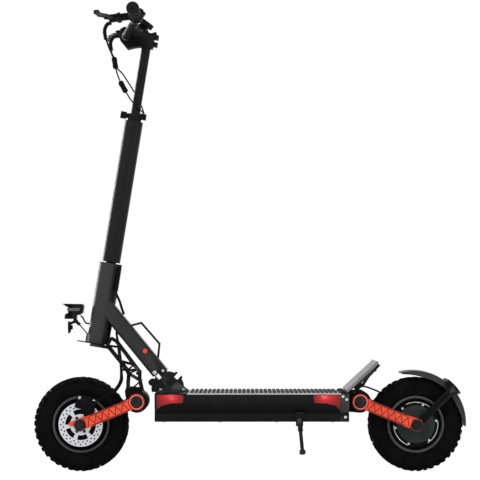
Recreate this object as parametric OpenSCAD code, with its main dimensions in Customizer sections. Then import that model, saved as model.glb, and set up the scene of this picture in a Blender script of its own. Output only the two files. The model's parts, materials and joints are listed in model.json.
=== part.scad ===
// Electric kick scooter with two hub motors, swing-arm suspension, a folding
// neck and a telescopic handlebar post. Millimetres, +Z up, travel towards -X,
// origin on the ground under the middle of the whole machine.

/* [Wheels] */
// Distance between the two axles
wheelbase = 915; // [860:5:1100]
// Outer radius of a tyre over its lugs
tyre_r = 129; // [122:1:135]
// Width of a tyre
tyre_w = 78; // [70:1:84]
// Outer radius of the rim flange
rim_r = 78; // [72:1:82]
// Radius of a brake disc
disc_r = 60; // [50:1:65]
// Number of cross lugs on a tyre
lug_count = 30; // [20:1:40]

/* [Suspension arms] */
// Horizontal distance from an axle to its arm pivot
arm_run = 154; // [148:1:190]
// Height of an arm pivot above its axle
arm_rise = 63; // [50:1:80]
// Height of an arm's side face
arm_h = 31; // [26:1:38]
// Thickness of an arm
arm_t = 16; // [12:1:20]
// Half of the gap between the two arms of a pair
arm_gap = 62; // [58:1:70]
// Radius of a pivot shaft
shaft_r = 12; // [10:0.5:14]
// Radius of a wheel axle
axle_r = 6; // [5:0.5:8]

/* [Deck] */
// Width of the deck
deck_w = 224; // [200:2:260]
// Height of the deck's top surface
deck_top = 217; // [200:1:230]
// Thickness of the deck from belly to top
deck_h = 77; // [65:1:90]
// Wall of the deck shell
deck_wall = 5; // [3:0.5:8]
// Distance from the front arm pivot to the deck's front face
front_gap = 50; // [46:1:70]
// Distance from the deck's rear face to the rear arm pivot
rear_gap = 32; // [32:1:50]
// Height of the rubber mat's ribs above the deck
mat_h = 4; // [3:0.5:7]
// Length of the sloping foot plate
kick_len = 120; // [112:1:130]
// Slope of the foot plate
kick_slope = 42.6; // [40:0.2:46]

/* [Neck and fold] */
// Fold pivot, distance behind the deck's front face
fold_back = 32; // [28:1:50]
// Fold pivot, height above the deck's top
fold_up = 11; // [8:1:20]
// Angle by which the neck folds back
fold_angle = 80; // [70:1:84]
// Depth of the neck beam's section
neck_depth = 43; // [36:1:50]
// Width of the neck beam
neck_w = 58; // [50:1:66]
// Radius of the fold pin
fold_pin_r = 6; // [5:0.5:7]
// Radius of the lock bar
lock_r = 5.5; // [4:0.5:6]
// Distance that the lock bar slides
lock_travel = 17; // [14:1:18]

/* [Steering column] */
// Backward tilt of the steering axis
head_tilt = 9.3; // [6:0.1:12]
// Length of the head tube
head_len = 223; // [200:1:240]
// Outer diameter of the head tube
head_od = 62; // [56:1:66]
// Outer diameter of the column
column_od = 50; // [44:1:52]
// Top of the column, measured along the steering axis
column_top = 618; // [582:4:660]
// Outer diameter of the sliding post
post_od = 25.4; // [22:0.1:30]
// Height of the bar clamp along the steering axis
clamp_s = 844; // [800:2:900]
// Distance that the post slides down
post_travel = 140; // [80:5:145]

/* [Handlebar] */
// Width over the grip ends
bar_w = 600; // [520:5:640]
// Outer diameter of the bar at the grips
bar_od = 22.2; // [20:0.1:25.4]
// Outer diameter of a grip
grip_od = 34; // [30:0.5:36]
// Length of a grip
grip_len = 128; // [110:1:140]
// Rise of the grips above the clamp
bar_rise = 41; // [20:1:60]
// Sweep of the grips behind the clamp
bar_sweep = 23; // [5:1:40]

/* [Hidden] */
$fn = 64;

black = [0.09, 0.09, 0.10];
dark = [0.16, 0.16, 0.17];
rubber = [0.06, 0.06, 0.06];
steel = [0.75, 0.76, 0.78];
orange = [0.93, 0.22, 0.12];
red = [0.85, 0.05, 0.08];

// Radial clearance of a running fit, and the gap between neighbouring pieces
fit = 0.05;
gap = 0.3;

// Fender, as an arc about a point set off from the rear axle
fender_r = 143;
fender_shift = [-6, 5];
fender_t = 3;

// Wheel and pivot places on the middle plane
rear_reach = fender_shift.x + fender_r;
front_x = (tyre_r - rear_reach - wheelbase) / 2;
rear_x = front_x + wheelbase;
arm_len = norm([arm_run, arm_rise]);
arm_angle = atan2(arm_rise, arm_run);
pivot_z = tyre_r + arm_rise;
front_pivot_x = front_x + arm_run;
rear_pivot_x = rear_x - arm_run;
house_r = 30;
house_w = 2 * (arm_gap - 2);
arm_out = arm_gap + arm_t;
cap_out = arm_out + 6;
axle_out = arm_out + 14;
disc_y = 47;
disc_t = 2;

// Deck
deck_front = front_pivot_x + front_gap;
deck_rear = rear_pivot_x - rear_gap;
deck_bottom = deck_top - deck_h;
end_t = 24;
shell_x0 = deck_front + 5;
shell_x1 = deck_rear - end_t;
waist_top = deck_top - 27;
waist_low = deck_bottom + 25;
waist_in = 10;
foot_in = 6;
belly_t = 3;
screw_r = 4;

// Foot plate, as a line that starts on top of the rear casting
kick_t = 8;
kick_w = deck_w - 34;
kick_x = shell_x1 + 19;
kick_z = deck_top + gap;

// Fold pivot and neck
fold_x = deck_front + fold_back;
fold_z = deck_top + fold_up;
knuckle_w = neck_w - 13;
hinge_y = knuckle_w / 2 + 0.5;
hinge_t = 7;
lock_in = 38;
lock_out = lock_in + lock_travel;
plate_r = 44;
prong_r = 48.5;
roller_at = [-43, 15.5];
roller_r = 8.4;

// Steering axis, set so that it meets the ground ahead of the tyre's contact
head_z = tyre_r + 221;
head_x = front_x + 43.5;
head_r = head_od / 2;
column_r = column_od / 2;
steerer_r = 14;
column_s = head_len + 3;
post_r = post_od / 2;
// Neck beam, from the fold pivot to the middle of the head tube's upper half
joint_s = 109;
joint_at = [head_x + joint_s * sin(head_tilt), head_z + joint_s * cos(head_tilt)];
joint_vec = joint_at - [fold_x, fold_z];
neck_off = 10;
neck_lean = atan2(-joint_vec.x, joint_vec.y) + asin(neck_off / norm(joint_vec));
neck_reach = sqrt(norm(joint_vec) ^ 2 - neck_off ^ 2);
neck_wall = 3;
neck_in_y = neck_w / 2 - neck_wall;
neck_top = neck_off + neck_depth / 2;
neck_low = neck_off - neck_depth / 2;
// Front arm pivot in the steering frame, as [behind, along]
pivot_vec = [front_pivot_x - head_x, pivot_z - head_z];
fork_pivot = [pivot_vec.x * cos(head_tilt) - pivot_vec.y * sin(head_tilt),
  pivot_vec.x * sin(head_tilt) + pivot_vec.y * cos(head_tilt)];

// Handlebar in the steering frame
clamp_at = [-55, clamp_s];
grip_at = [clamp_at.x + bar_sweep, clamp_at.y + bar_rise];
bar_r = bar_od / 2;
clamp_r = 15.9;
grip_r = grip_od / 2;
grip_y = bar_w / 2 - grip_len;
perch_y = grip_y - 14;

// ---- placing and sweeping

// Steering frame: x behind the axis, z along it from the head tube's foot
module in_steer() {
  translate([head_x, 0, head_z]) rotate([0, head_tilt, 0]) children();
}

// Neck frame: x across the beam, z along it from the fold pivot
module in_neck() {
  translate([fold_x, 0, fold_z]) rotate([0, -neck_lean, 0]) children();
}

// Front arm frame: x from the axle to the pivot
module in_front_arm() {
  translate([front_x, 0, tyre_r]) rotate([0, -arm_angle, 0]) children();
}

module in_rear_arm() {
  translate([rear_x, 0, tyre_r]) mirror([1, 0, 0]) rotate([0, -arm_angle, 0]) children();
}

// A flat outline in x and z, made solid between two values of y
module slab(y0, y1) {
  translate([0, y1, 0]) rotate([90, 0, 0]) linear_extrude(y1 - y0) children();
}

// A round bar along y
module rod_y(r, y0, y1) {
  translate([0, y1, 0]) rotate([90, 0, 0]) cylinder(r = r, h = y1 - y0);
}

// A round bar between two points
module rod(p, q, r) {
  v = q - p;
  translate(p) rotate([0, acos(v.z / norm(v)), atan2(v.y, v.x)]) cylinder(r = r, h = norm(v));
}

// A run of round bars with ball corners
module rod_run(points, r) {
  for (i = [0:len(points) - 2]) rod(points[i], points[i + 1], r);
  for (i = [1:len(points) - 2]) translate(points[i]) sphere(r = r + 0.1);
}

// A flat strip between two points of an outline
module strip(p, q, w) {
  v = q - p;
  translate(p) rotate(atan2(v.y, v.x)) translate([-w / 2, -w / 2]) square([norm(v) + w, w]);
}

module strip_run(points, w) {
  for (i = [0:len(points) - 2]) strip(points[i], points[i + 1], w);
}

function along(run, t) = let(i = min(floor(t), len(run) - 2))
  run[i] + (run[i + 1] - run[i]) * (t - i);

// Zigzag struts between two runs of points
module zigzag(run_a, run_b, n, w) {
  for (i = [0:n - 1]) {
    a = along(run_a, (len(run_a) - 1) * i / n);
    b = along(run_b, (len(run_b) - 1) * (i + 0.5) / n);
    c = along(run_a, (len(run_a) - 1) * (i + 1) / n);
    strip(a, b, w);
    strip(b, c, w);
  }
}

module pair() {
  children();
  mirror([0, 1, 0]) children();
}

// A rectangle with round corners, centred
module round_rect(w, h, r) {
  square([w - 2 * r, h], center = true);
  square([w, h - 2 * r], center = true);
  for (x = [-1, 1], y = [-1, 1]) translate([x * (w / 2 - r), y * (h / 2 - r)]) circle(r);
}

// Smooth points through a route
function route_point(p, i, t) = let(
  a = p[max(i - 1, 0)], b = p[i], c = p[i + 1], d = p[min(i + 2, len(p) - 1)])
  0.5 * (2 * b + (c - a) * t + (2 * a - 5 * b + 4 * c - d) * t ^ 2 + (3 * b - a - 3 * c + d) * t ^ 3);
function smooth(p, n) = concat(
  [for (i = [0:len(p) - 2], k = [0:n - 1]) route_point(p, i, k / n)], [p[len(p) - 1]]);

// A tube of round section swept along a route
module cord(route, r, sides = 8, steps = 3, side = [0, 1, 0]) {
  p = smooth(route, steps);
  n = len(p);
  rings = [for (i = [0:n - 1]) let(
    t = p[min(i + 1, n - 1)] - p[max(i - 1, 0)],
    u = cross(t, side) / norm(cross(t, side)),
    v = cross(u, t) / norm(cross(u, t)))
    for (k = [0:sides - 1]) p[i] + r * (cos(360 * k / sides) * u + sin(360 * k / sides) * v)];
  faces = concat([[for (k = [sides - 1:-1:0]) k]],
    [for (i = [0:n - 2], k = [0:sides - 1]) let(a = i * sides + k, b = i * sides + (k + 1) % sides)
      [b, b + sides, a + sides, a]],
    [[for (k = [0:sides - 1]) (n - 1) * sides + k]]);
  polyhedron(points = rings, faces = faces, convexity = 6);
}

// ---- deck

// Outline of the deck across its length, with the waist below its top band
module deck_outline() {
  w = deck_w / 2;
  half = [[w - 3, deck_top], [w, deck_top - 3], [w, waist_top], [w - waist_in, waist_low],
    [w - foot_in, waist_low - 3], [w - foot_in, deck_bottom + 3], [w - foot_in - 3, deck_bottom]];
  polygon(concat(half, [for (i = [len(half) - 1:-1:0]) [-half[i].x, half[i].y]]));
}

module deck_bar(x0, x1) {
  translate([x0, 0, 0]) rotate([90, 0, 90]) linear_extrude(x1 - x0) deck_outline();
}

room_w = deck_w / 2 - waist_in - deck_wall;
room_top = deck_top - deck_wall;
socket_at = [deck_front + 108, waist_low - 14];
socket_r = 8;

module deck_shell() {
  color(black) difference() {
    deck_bar(shell_x0, shell_x1);
    translate([shell_x0 - 1, -room_w, deck_bottom - 1])
      cube([shell_x1 - shell_x0 + 2, 2 * room_w, room_top - deck_bottom + 1]);
    translate([socket_at.x, 0, socket_at.y]) rod_y(socket_r + gap, room_w - 1, deck_w / 2);
  }
}

// Rubber mat with cross ribs
mat_x0 = fold_x + 60;
mat_x1 = shell_x1 - 4;
rib_pitch = 12;
rib_gap = 3;
module deck_mat() {
  mat_w = deck_w - 22;
  color(rubber) {
    translate([mat_x0, -mat_w / 2, deck_top]) cube([mat_x1 - mat_x0, mat_w, mat_h - 2.5]);
    for (x = [mat_x0:rib_pitch:mat_x1 - rib_pitch + rib_gap])
      translate([x, -mat_w / 2 + 3, deck_top + 1]) cube([rib_pitch - rib_gap, mat_w - 6, mat_h - 1]);
  }
}

module belly_plate() {
  color(dark) translate([shell_x0, -room_w, deck_bottom])
    cube([shell_x1 - shell_x0, 2 * room_w, belly_t]);
}

// Screws of the rear casting's sides, the belly and the hinge plates' feet
module deck_screws() {
  side_at = [[deck_rear - 17, deck_top - 8], [deck_rear - 7, deck_top - 16],
    [deck_rear - 10, waist_low - 12]];
  color(steel) {
    pair() for (p = side_at) translate([p.x, 0, p.y]) difference() {
      y = deck_w / 2 - (p.y < waist_low ? foot_in : 0);
      rod_y(screw_r, y, y + 2.2);
      rod_y(screw_r * 0.5, y + 1, y + 3);
    }
    for (i = [0:3], y = [-1, 1])
      translate([shell_x0 + 20 + i * (shell_x1 - shell_x0 - 40) / 3, y * (room_w - 8), deck_bottom - 2])
        cylinder(r = screw_r, h = 2);
    pair() for (x = [-18, 44])
      translate([fold_x + x, hinge_y + hinge_t + 8, deck_top + 6]) cylinder(r = 5, h = 4);
  }
}

// Outline of a front side light, from the deck's front top corner
module light_outline() {
  polygon([[6, -4], [74, -4], [79, -9], [76, -26], [42, -27], [20, -33], [6, -45]]);
}

module side_lights() {
  color(red) pair() difference() {
    for (end = [0, 1]) slab(deck_w / 2 - waist_in - 1, deck_w / 2 + 2)
      translate([end == 0 ? deck_front : shell_x1 + 6, deck_top]) mirror([end, 0]) light_outline();
    deck_bar(deck_front, deck_rear);
  }
}

// Casting that closes the deck's front and carries the hinge plates
module front_block() {
  color(black) {
    deck_bar(deck_front, shell_x0);
    translate([shell_x0, -60, waist_low]) cube([80, 120, room_top - waist_low]);
  }
}

// ---- foot plate and rear casting

function kick_point(t, n) = [kick_x + t * cos(kick_slope) - n * sin(kick_slope),
  kick_z + t * sin(kick_slope) + n * cos(kick_slope)];

module kickplate() {
  color(dark) slab(-kick_w / 2, kick_w / 2) polygon([kick_point(0, 0), kick_point(kick_len - 5, 0),
    kick_point(kick_len, 4), kick_point(kick_len - 3, kick_t + 2), kick_point(kick_len - 9, kick_t),
    kick_point(4, kick_t)]);
}

truss_w = 7;
module rear_block() {
  top_run = [kick_point(26, -truss_w / 2), kick_point(kick_len - 14, -truss_w / 2)];
  back_run = [[shell_x1 + 6, deck_top + 2], [deck_rear + 14, deck_top + 4], [rear_pivot_x + 8, deck_top + 24],
    [rear_pivot_x + 20, deck_top + 43], kick_point(kick_len - 7, -truss_w / 2)];
  color(black) difference() {
    union() {
      deck_bar(shell_x1, deck_rear);
      slab(-house_w / 2, house_w / 2) polygon([[deck_rear - 1, waist_low], [rear_pivot_x, pivot_z - house_r],
        [rear_pivot_x, pivot_z + house_r], [deck_rear - 1, deck_top]]);
      translate([rear_pivot_x, 0, pivot_z]) rod_y(house_r, -house_w / 2, house_w / 2);
      pair() slab(kick_w / 2 - 18, kick_w / 2 - 9) {
        strip_run(top_run, truss_w);
        strip_run(back_run, truss_w);
        zigzag(top_run, [for (i = [1:4]) back_run[i]], 3, 5);
      }
      for (t = [34, kick_len - 22])
        translate([kick_point(t, -6).x, 0, kick_point(t, -6).y]) rod_y(4.5, 10 - kick_w / 2, kick_w / 2 - 10);
      pair() slab(house_w / 2 - 10, kick_w / 2 - 9) polygon([[shell_x1, deck_top - 1],
        [deck_rear + 14, deck_top - 1], [deck_rear + 14, deck_top + 5], [shell_x1, deck_top + 5]]);
    }
    translate([rear_pivot_x, 0, pivot_z]) rod_y(shaft_r + fit, -house_w, house_w);
    slab(-kick_w, kick_w) polygon([kick_point(0, -0.02), kick_point(kick_len + 20, -0.02),
      kick_point(kick_len + 20, 20), kick_point(0, 20)]);
  }
}

battery_x = [shell_x0 + 84, shell_x1 - 96];
module battery_pack() {
  color([0.15, 0.35, 0.6]) translate([battery_x[0], -room_w + 12, deck_bottom + belly_t])
    cube([battery_x[1] - battery_x[0], 2 * room_w - 24, room_top - deck_bottom - belly_t - 3]);
}

module controller() {
  color(steel) translate([battery_x[1] + 8, -room_w + 20, deck_bottom + belly_t]) {
    cube([76, 2 * room_w - 40, 30]);
    for (i = [0:6]) translate([4 + i * 10.5, 4, 29]) cube([5, 2 * room_w - 48, 9]);
  }
}

module charge_socket() {
  y_out = deck_w / 2 - foot_in;
  color(dark) translate([socket_at.x, 0, socket_at.y]) difference() {
    union() {
      rod_y(socket_r, y_out - 16, y_out + 1);
      rod_y(socket_r + 4, y_out, y_out + 2);
    }
    rod_y(socket_r - 3, y_out - 12, y_out + 3);
    rod_y(socket_r - 1.5, y_out - 2, y_out + 3);
  }
}

// ---- hinge between deck and neck

function polar(r, a) = [r * cos(a), r * sin(a)];
lock_angle = 90 + neck_lean;

module lock_notch(a) {
  strip(polar(lock_in, a), polar(lock_in + 30, a), 2 * (lock_r + gap));
}

module hinge_outline() {
  difference() {
    union() {
      circle(plate_r);
      intersection() {
        circle(prong_r);
        polygon([[0, 0], polar(80, lock_angle - fold_angle - 16), polar(80, lock_angle - fold_angle + 15)]);
      }
      strip([0, 0], roller_at * 0.8, 15);
      translate(roller_at) circle(roller_r + 0.8);
      polygon([[-30, -fold_up], [56, -fold_up], [56, 4 - fold_up], [38, 8], [-24, 6]]);
    }
    translate([-100, -100 - fold_up]) square([200, 100]);
    circle(fold_pin_r + fit);
    for (a = [lock_angle, lock_angle - fold_angle]) lock_notch(a);
  }
}

module hinge_plates() {
  out = hinge_y + hinge_t;
  color(dark) translate([fold_x, 0, fold_z]) {
    pair() slab(hinge_y, out) hinge_outline();
    pair() difference() {
      translate([-28, out - 1, -fold_up]) cube([84, 16, 6]);
      rod_y(roller_r + gap, out - 2, out + 5);
    }
    translate([roller_at.x, 0, roller_at.y]) rod_y(roller_r - 2.4, -hinge_y, hinge_y);
    pair() translate([roller_at.x, 0, roller_at.y]) rod_y(roller_r, out - 1, out + 3);
  }
}

module fold_pin() {
  out = hinge_y + hinge_t;
  color(steel) translate([fold_x, 0, fold_z]) {
    rod_y(fold_pin_r, -out - 2, out + 2);
    pair() rod_y(roller_r, out, out + 4);
  }
}

// ---- kickstand on the left side

stand_x = shell_x1 - 110;
stand_z = waist_low - 22;
stand_y = -deck_w / 2 + foot_in;
stand_foot = [6, -58, -82];
module kickstand_bracket() {
  color(dark) {
    translate([stand_x - 10, stand_y - 6, stand_z - 14]) cube([20, 6, waist_low - stand_z + 16]);
    translate([stand_x, 0, stand_z]) {
      rod_y(5, stand_y - 22, stand_y - 5);
      rod_y(7.5, stand_y - 25, stand_y - 22);
    }
  }
}

module kickstand_leg() {
  hub = [stand_x, stand_y - 14, stand_z];
  tip = hub + stand_foot;
  color(black) difference() {
    union() {
      translate([stand_x, 0, stand_z]) rod_y(9, stand_y - 21.7, stand_y - 6.3);
      rod(hub, tip, 5);
      rod(hub + stand_foot * 0.08, hub + stand_foot * 0.3, 7);
      rod(hub + stand_foot * 0.93, tip, 8.5);
    }
    translate([stand_x, 0, stand_z]) {
      rod_y(5 + fit, stand_y - 30, stand_y);
      rod_y(8, stand_y - 25.3, stand_y - 21.8);
    }
  }
}

// ---- neck

beam_clear = prong_r + 1;
loop_route = [[0, lock_out + 14], [30.5, lock_out + 25], [58.8, 108], [56.5, 184], [35, 194], [22, 200]];
button_at = [17, 117];
button_r = 6.5;

module neck_frame() {
  knuckle = [[-10.5, 0], [10.5, 0], [neck_top - 4, 24], [neck_top - 4, 78], [neck_low + 4, 78],
    [neck_low + 4, 20]];
  color(dark) difference() {
    union() {
      in_neck() difference() {
        translate([neck_off, 0, 20]) linear_extrude(neck_reach - 20) round_rect(neck_depth, neck_w, 6);
        translate([neck_off, 0, 19]) linear_extrude(neck_reach) round_rect(neck_depth - 2 * neck_wall,
          neck_w - 2 * neck_wall, 4);
        rod_y(beam_clear, -neck_w, neck_w);
      }
      in_neck() slab(-knuckle_w / 2, knuckle_w / 2) {
        polygon(knuckle);
        circle(10.5);
      }
      in_neck() slab(-neck_in_y - 1, neck_in_y + 1) difference() {
        polygon([[neck_low + 1, 46], [neck_top - 1, 40], [neck_top - 1, 76], [neck_low + 1, 76]]);
        circle(beam_clear);
      }
      in_steer() cylinder(r = head_r, h = head_len);
    }
    in_steer() translate([0, 0, -1]) cylinder(r = head_r - 6, h = head_len + 2);
    in_neck() {
      rod_y(fold_pin_r + fit, -neck_w, neck_w);
      slab(-neck_w, neck_w) strip([0, lock_in], [0, lock_out], 2 * (lock_r + gap));
      translate([-11, -4.6, 26]) cube([neck_top + 6, 9.2, 66]);
      translate([neck_off, -4.6, 48]) cube([neck_depth, 9.2, 44]);
      translate([neck_off, -4.6, 194 - lock_travel - 8]) cube([neck_depth, 9.2, lock_travel + 16]);
      translate([button_at.x, 0, button_at.y]) rod_y(button_r + gap, -neck_w, -neck_in_y + 1);
      translate([neck_low - 1, -14, 203]) cube([neck_wall + 2, 28, 17]);
    }
  }
}

module headset_bearings() {
  color(steel) in_steer() for (s = [3, head_len - 11]) translate([0, 0, s]) difference() {
    cylinder(r = head_r - 6 - fit, h = 8);
    translate([0, 0, -1]) cylinder(r = steerer_r + fit, h = 10);
  }
}

// Ribbed strain relief on the left rear of the head tube, and the lead below it
guide_at = [head_r * 0.72 + 5, -head_r * 0.72 - 5];
module cable_guide() {
  color(black) in_steer() translate([guide_at.x, guide_at.y, 0]) {
    translate([0, 0, 150]) cylinder(r = 5, h = 66);
    for (s = [152:7:210]) translate([0, 0, s]) cylinder(r = 6.4, h = 3.5);
    translate([-3, 3, 158]) rotate(45) translate([-3, -3, 0]) cube([6, 4, 50]);
    translate([0, 0, 216]) sphere(r = 5);
  }
}

module head_cables() {
  color(rubber) cord([[-368, -27, 492], [-363, -25, 480], [-356, -18, 463], [-351, -12, 445],
    [-345.4, -9, 430]], 3.5);
}

module lock_bar() {
  out = hinge_y + hinge_t + 3;
  color(steel) in_neck() translate([0, 0, lock_out]) rod_y(lock_r, -out, out);
}

// Bent pull handle that carries the lock bar in its eye
module lock_handle() {
  run = [for (p = loop_route) [p.x, 0, p.y]];
  color(black) in_neck() difference() {
    union() {
      translate([0, 0, lock_out]) rod_y(9, -4, 4);
      rod_run(run, 3);
      rod([4, 0, lock_out + 4], run[1], 3);
      translate(run[1]) sphere(r = 3);
    }
    translate([0, 0, lock_out]) rod_y(lock_r + fit, -6, 6);
  }
}

module safety_button() {
  wall = -neck_w / 2;
  color(red) in_neck() translate([button_at.x, 0, button_at.y]) {
    rod_y(button_r, wall - 4, wall + neck_wall + 1);
    rod_y(button_r + 1.5, wall + neck_wall + gap, wall + neck_wall + 3);
  }
}

// ---- fork and column

leg_y = head_r + 4;
leg_t = 9;
bar_t = 6;
crown_t = 6;
plate_t = 2.5;
crown_low = -plate_t - 1 - crown_t;

module fork_leg() {
  f = fork_pivot;
  front_run = [[28, -2], f + [-46, 82], f + [-37, 70], f + [-35, 48], f + [-31, 18]];
  back_run = [[34, 20], [50, 14], f + [-26, 96], f + [-8, 79], f + [-5, 60], f + [6, 32]];
  strip_run(front_run, bar_t);
  strip_run(back_run, bar_t);
  strip([20, crown_low + crown_t / 2], front_run[0], bar_t);
  strip(front_run[0], back_run[0], 4);
  zigzag([front_run[0], front_run[1], front_run[2]], [back_run[0], back_run[2], back_run[3]], 3, 4);
  zigzag([front_run[2], front_run[4]], [back_run[3], back_run[5]], 1, 4);
  polygon([f + [-38, 22], f + [-36, 34], f + [4, 36], f + [14, 26], f + [28, 8], f + [-29, -6]]);
  translate(f) circle(house_r);
}

module fork() {
  color(dark) in_steer() difference() {
    union() {
      translate([0, 0, crown_low]) cylinder(r = steerer_r, h = column_s + 75 - crown_low);
      translate([-18, -leg_y - leg_t, crown_low]) cube([50, 2 * (leg_y + leg_t), crown_t]);
      pair() slab(leg_y, leg_y + leg_t) fork_leg();
      translate([fork_pivot.x, 0, fork_pivot.y]) rod_y(house_r, -house_w / 2, house_w / 2);
      for (p = [fork_pivot + [-50, 80], fork_pivot + [-12, 76], fork_pivot + [-30, 30]])
        translate([p.x, 0, p.y]) rod_y(4.5, -leg_y - 1, leg_y + 1);
    }
    translate([fork_pivot.x, 0, fork_pivot.y]) rod_y(shaft_r + fit, -house_w, house_w);
    translate([0, 0, -40]) cylinder(r = steerer_r - 4, h = column_s + 140);
  }
}

post_bottom = column_s + 76 + post_travel + 28;
column_bore = column_r - 4;
post_play = 1.35;
module column() {
  top_wall = 24;
  color(black) in_steer() difference() {
    translate([0, 0, column_s]) cylinder(r = column_r, h = column_top - column_s);
    translate([0, 0, column_s - 1]) cylinder(r = steerer_r + fit, h = 78);
    translate([0, 0, column_top - top_wall - 1]) cylinder(r = post_r + post_play, h = top_wall + 2);
    translate([0, 0, column_s + 76]) cylinder(r = column_bore, h = column_top - top_wall - column_s - 76);
  }
}

collar_h = 20;
collar_r = post_r + 6;
knob_s = column_top + 13;
module collar() {
  color(dark) in_steer() difference() {
    union() {
      translate([0, 0, column_top]) cylinder(r = collar_r, h = collar_h);
      translate([collar_r - 5, -11, column_top + 8]) cube([17, 22, collar_h - 4]);
      translate([0, 0, knob_s]) rotate([0, -90, 0]) cylinder(r = 6.5, h = collar_r + 4);
    }
    translate([0, 0, column_top - 1]) cylinder(r = post_r + fit, h = collar_h + 2);
    translate([0, -1, column_top - 1]) cube([collar_r + 14, 2, collar_h + 8]);
    translate([0, 0, knob_s]) rotate([0, -90, 0]) cylinder(r = 3 + fit, h = 60);
  }
}

module height_knob() {
  color(black) in_steer() translate([0, 0, knob_s]) rotate([0, -90, 0]) {
    translate([0, 0, post_r + 0.5]) cylinder(r = 3, h = 20);
    difference() {
      translate([0, 0, collar_r + 4.5]) cylinder(r = 10, h = 16);
      for (i = [0:5]) rotate(60 * i) translate([11.5, 0, collar_r]) cylinder(r = 3, h = 30);
    }
  }
}

// Splash plate under the head tube, with the lamp's stay in one bent strip
lamp_at = [head_x - 61, head_z + 61];
lamp_vec = lamp_at - [head_x, head_z];
lamp_local = [lamp_vec.x * cos(head_tilt) - lamp_vec.y * sin(head_tilt),
  lamp_vec.x * sin(head_tilt) + lamp_vec.y * cos(head_tilt)];
ear_y = 5.4;
module light_bracket() {
  stay = [[-head_r - 2.2, -2], [-head_r - 2.2, 22], lamp_local + [9, -5]];
  color(black) in_steer() difference() {
    union() {
      translate([0, 0, -plate_t - 0.5]) linear_extrude(plate_t) {
        translate([-56, -16]) square([74, 32]);
        translate([-50, -22]) square([68, 44]);
      }
      slab(-8, 8) strip_run(stay, 2.6);
      pair() slab(ear_y, ear_y + 3) {
        translate(lamp_local) circle(6);
        strip(lamp_local, lamp_local + [10, -6], 8);
      }
      translate([lamp_local.x, 0, lamp_local.y]) rod_y(3, -11, 11);
    }
    translate([0, 0, -10]) cylinder(r = steerer_r + fit, h = 12);
  }
}

module headlight() {
  c = lamp_at;
  outline = [[-35, 48], [19, 47], [23, 42], [20, 23], [12, 17], [3, 16], [3, 6], [-29, 6], [-28, 18],
    [-24, 20], [-24, 40]];
  color(black) difference() {
    union() {
      slab(-26, 26) polygon([for (p = outline) c + p]);
      slab(-5, 5) {
        translate(c) circle(6);
        translate(c + [-6, 0]) square([9, 8]);
      }
    }
    translate([c.x, 0, c.y]) rod_y(3 + fit, -10, 10);
    pair() translate([c.x - 40, 26, c.y]) rotate(-24) cube([30, 30, 60]);
    slab(-20, 20) polygon([for (p = [[-40, 22], [-19, 22], [-19, 39], [-40, 39]]) c + p]);
  }
}

module headlight_lens() {
  c = lamp_at;
  color([0.9, 0.93, 0.95]) slab(-20, 20)
    polygon([for (p = [[-22, 22], [-19, 22], [-19, 39], [-22, 39], [-24, 31]]) c + p]);
}

// Disc horn hung from the lamp's bolt
module horn() {
  c = lamp_at + [-20, -17];
  color(black) difference() {
    union() {
      translate([c.x, 0, c.y]) rotate([0, 90, 0]) {
        cylinder(r = 17, h = 4);
        cylinder(r = 13, h = 7);
        cylinder(r = 6, h = 12);
      }
      pair() slab(ear_y + 3.2, ear_y + 5) {
        strip(lamp_at, c + [3, 9], 7);
        translate(lamp_at) circle(6);
      }
    }
    translate([lamp_at.x, 0, lamp_at.y]) rod_y(3 + fit, -14, 14);
  }
}

module light_cable() {
  color(rubber) cord([[-466, 12, 426], [-460, 12, 420], [-455, 9, 410], [-449, 4, 405],
    [-441.5, 2, 404]], 2.2);
}

module front_cables() {
  color(rubber) {
    cord([[-363.3, -8, 391.7], [-366.7, -8.5, 378.5], [-362, -14, 346], [-356, -22, 306], [-353, -30, 268],
      [-356, -46, 244], [-372, -51, 222], [-396, -51, 205], [-415.6, -50, 194]], 2.4);
    cord([[-363.3, 8, 391.7], [-366.7, 8.5, 378.5], [-362, 14, 346], [-356, 22, 306], [-354, 30, 268],
      [-355, 48, 244], [-372, 53, 216], [-405, 54, 176], [-436, 55, 144], [-453, 57, 134]], 3);
  }
}

// ---- swing arms and wheels

ring_r = 19.5;
module arm_outline() {
  translate([16.5, -arm_h / 2]) square([arm_len - 16.5, arm_h]);
  translate([arm_len, 0]) circle(ring_r + 3);
}

// Dropout that holds the axle, with a slot open away from the pivot
module dropout_outline(tail) {
  difference() {
    union() {
      circle(17);
      translate([0, -arm_h / 2 + 2]) square([60, arm_h - 4]);
      translate([-tail, 6]) square([tail + 23, 11]);
    }
    translate([-40, -axle_r]) square([40, 2 * axle_r]);
    circle(axle_r + fit);
  }
}

module arm_pattern() {
  low = 6 - arm_h / 2;
  high = arm_h / 2 - 6;
  bays = 6;
  step = (arm_len - ring_r - 29) / bays;
  for (i = [0:bays - 1]) {
    x = 21 + i * step;
    strip([x, low], [x + step / 2, high], 1.8);
    strip([x + step / 2, high], [x + step, low], 1.8);
  }
  strip([19, low - 2.5], [arm_len - ring_r - 6, low - 2.5], 1.2);
  strip([19, high + 2.5], [arm_len - ring_r - 6, high + 2.5], 1.2);
}

module arm_pair(tail) {
  color(orange) pair() difference() {
    union() {
      slab(arm_gap + 8, arm_out) arm_outline();
      slab(arm_gap, arm_gap + 8.1) {
        dropout_outline(tail);
        translate([40, -arm_h / 2]) square([arm_len - 40, arm_h]);
        translate([arm_len, 0]) circle(ring_r + 3);
      }
      slab(arm_out - 1, arm_out + 1.6) translate([arm_len, 0]) circle(ring_r);
    }
    translate([arm_len, 0, 0]) rod_y(shaft_r + fit, 0, 200);
    translate([arm_len, 0, 0]) rod_y(ring_r - 2.5, arm_out - 1, 200);
    slab(arm_out - 1.4, arm_out + 1) arm_pattern();
  }
}

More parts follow.
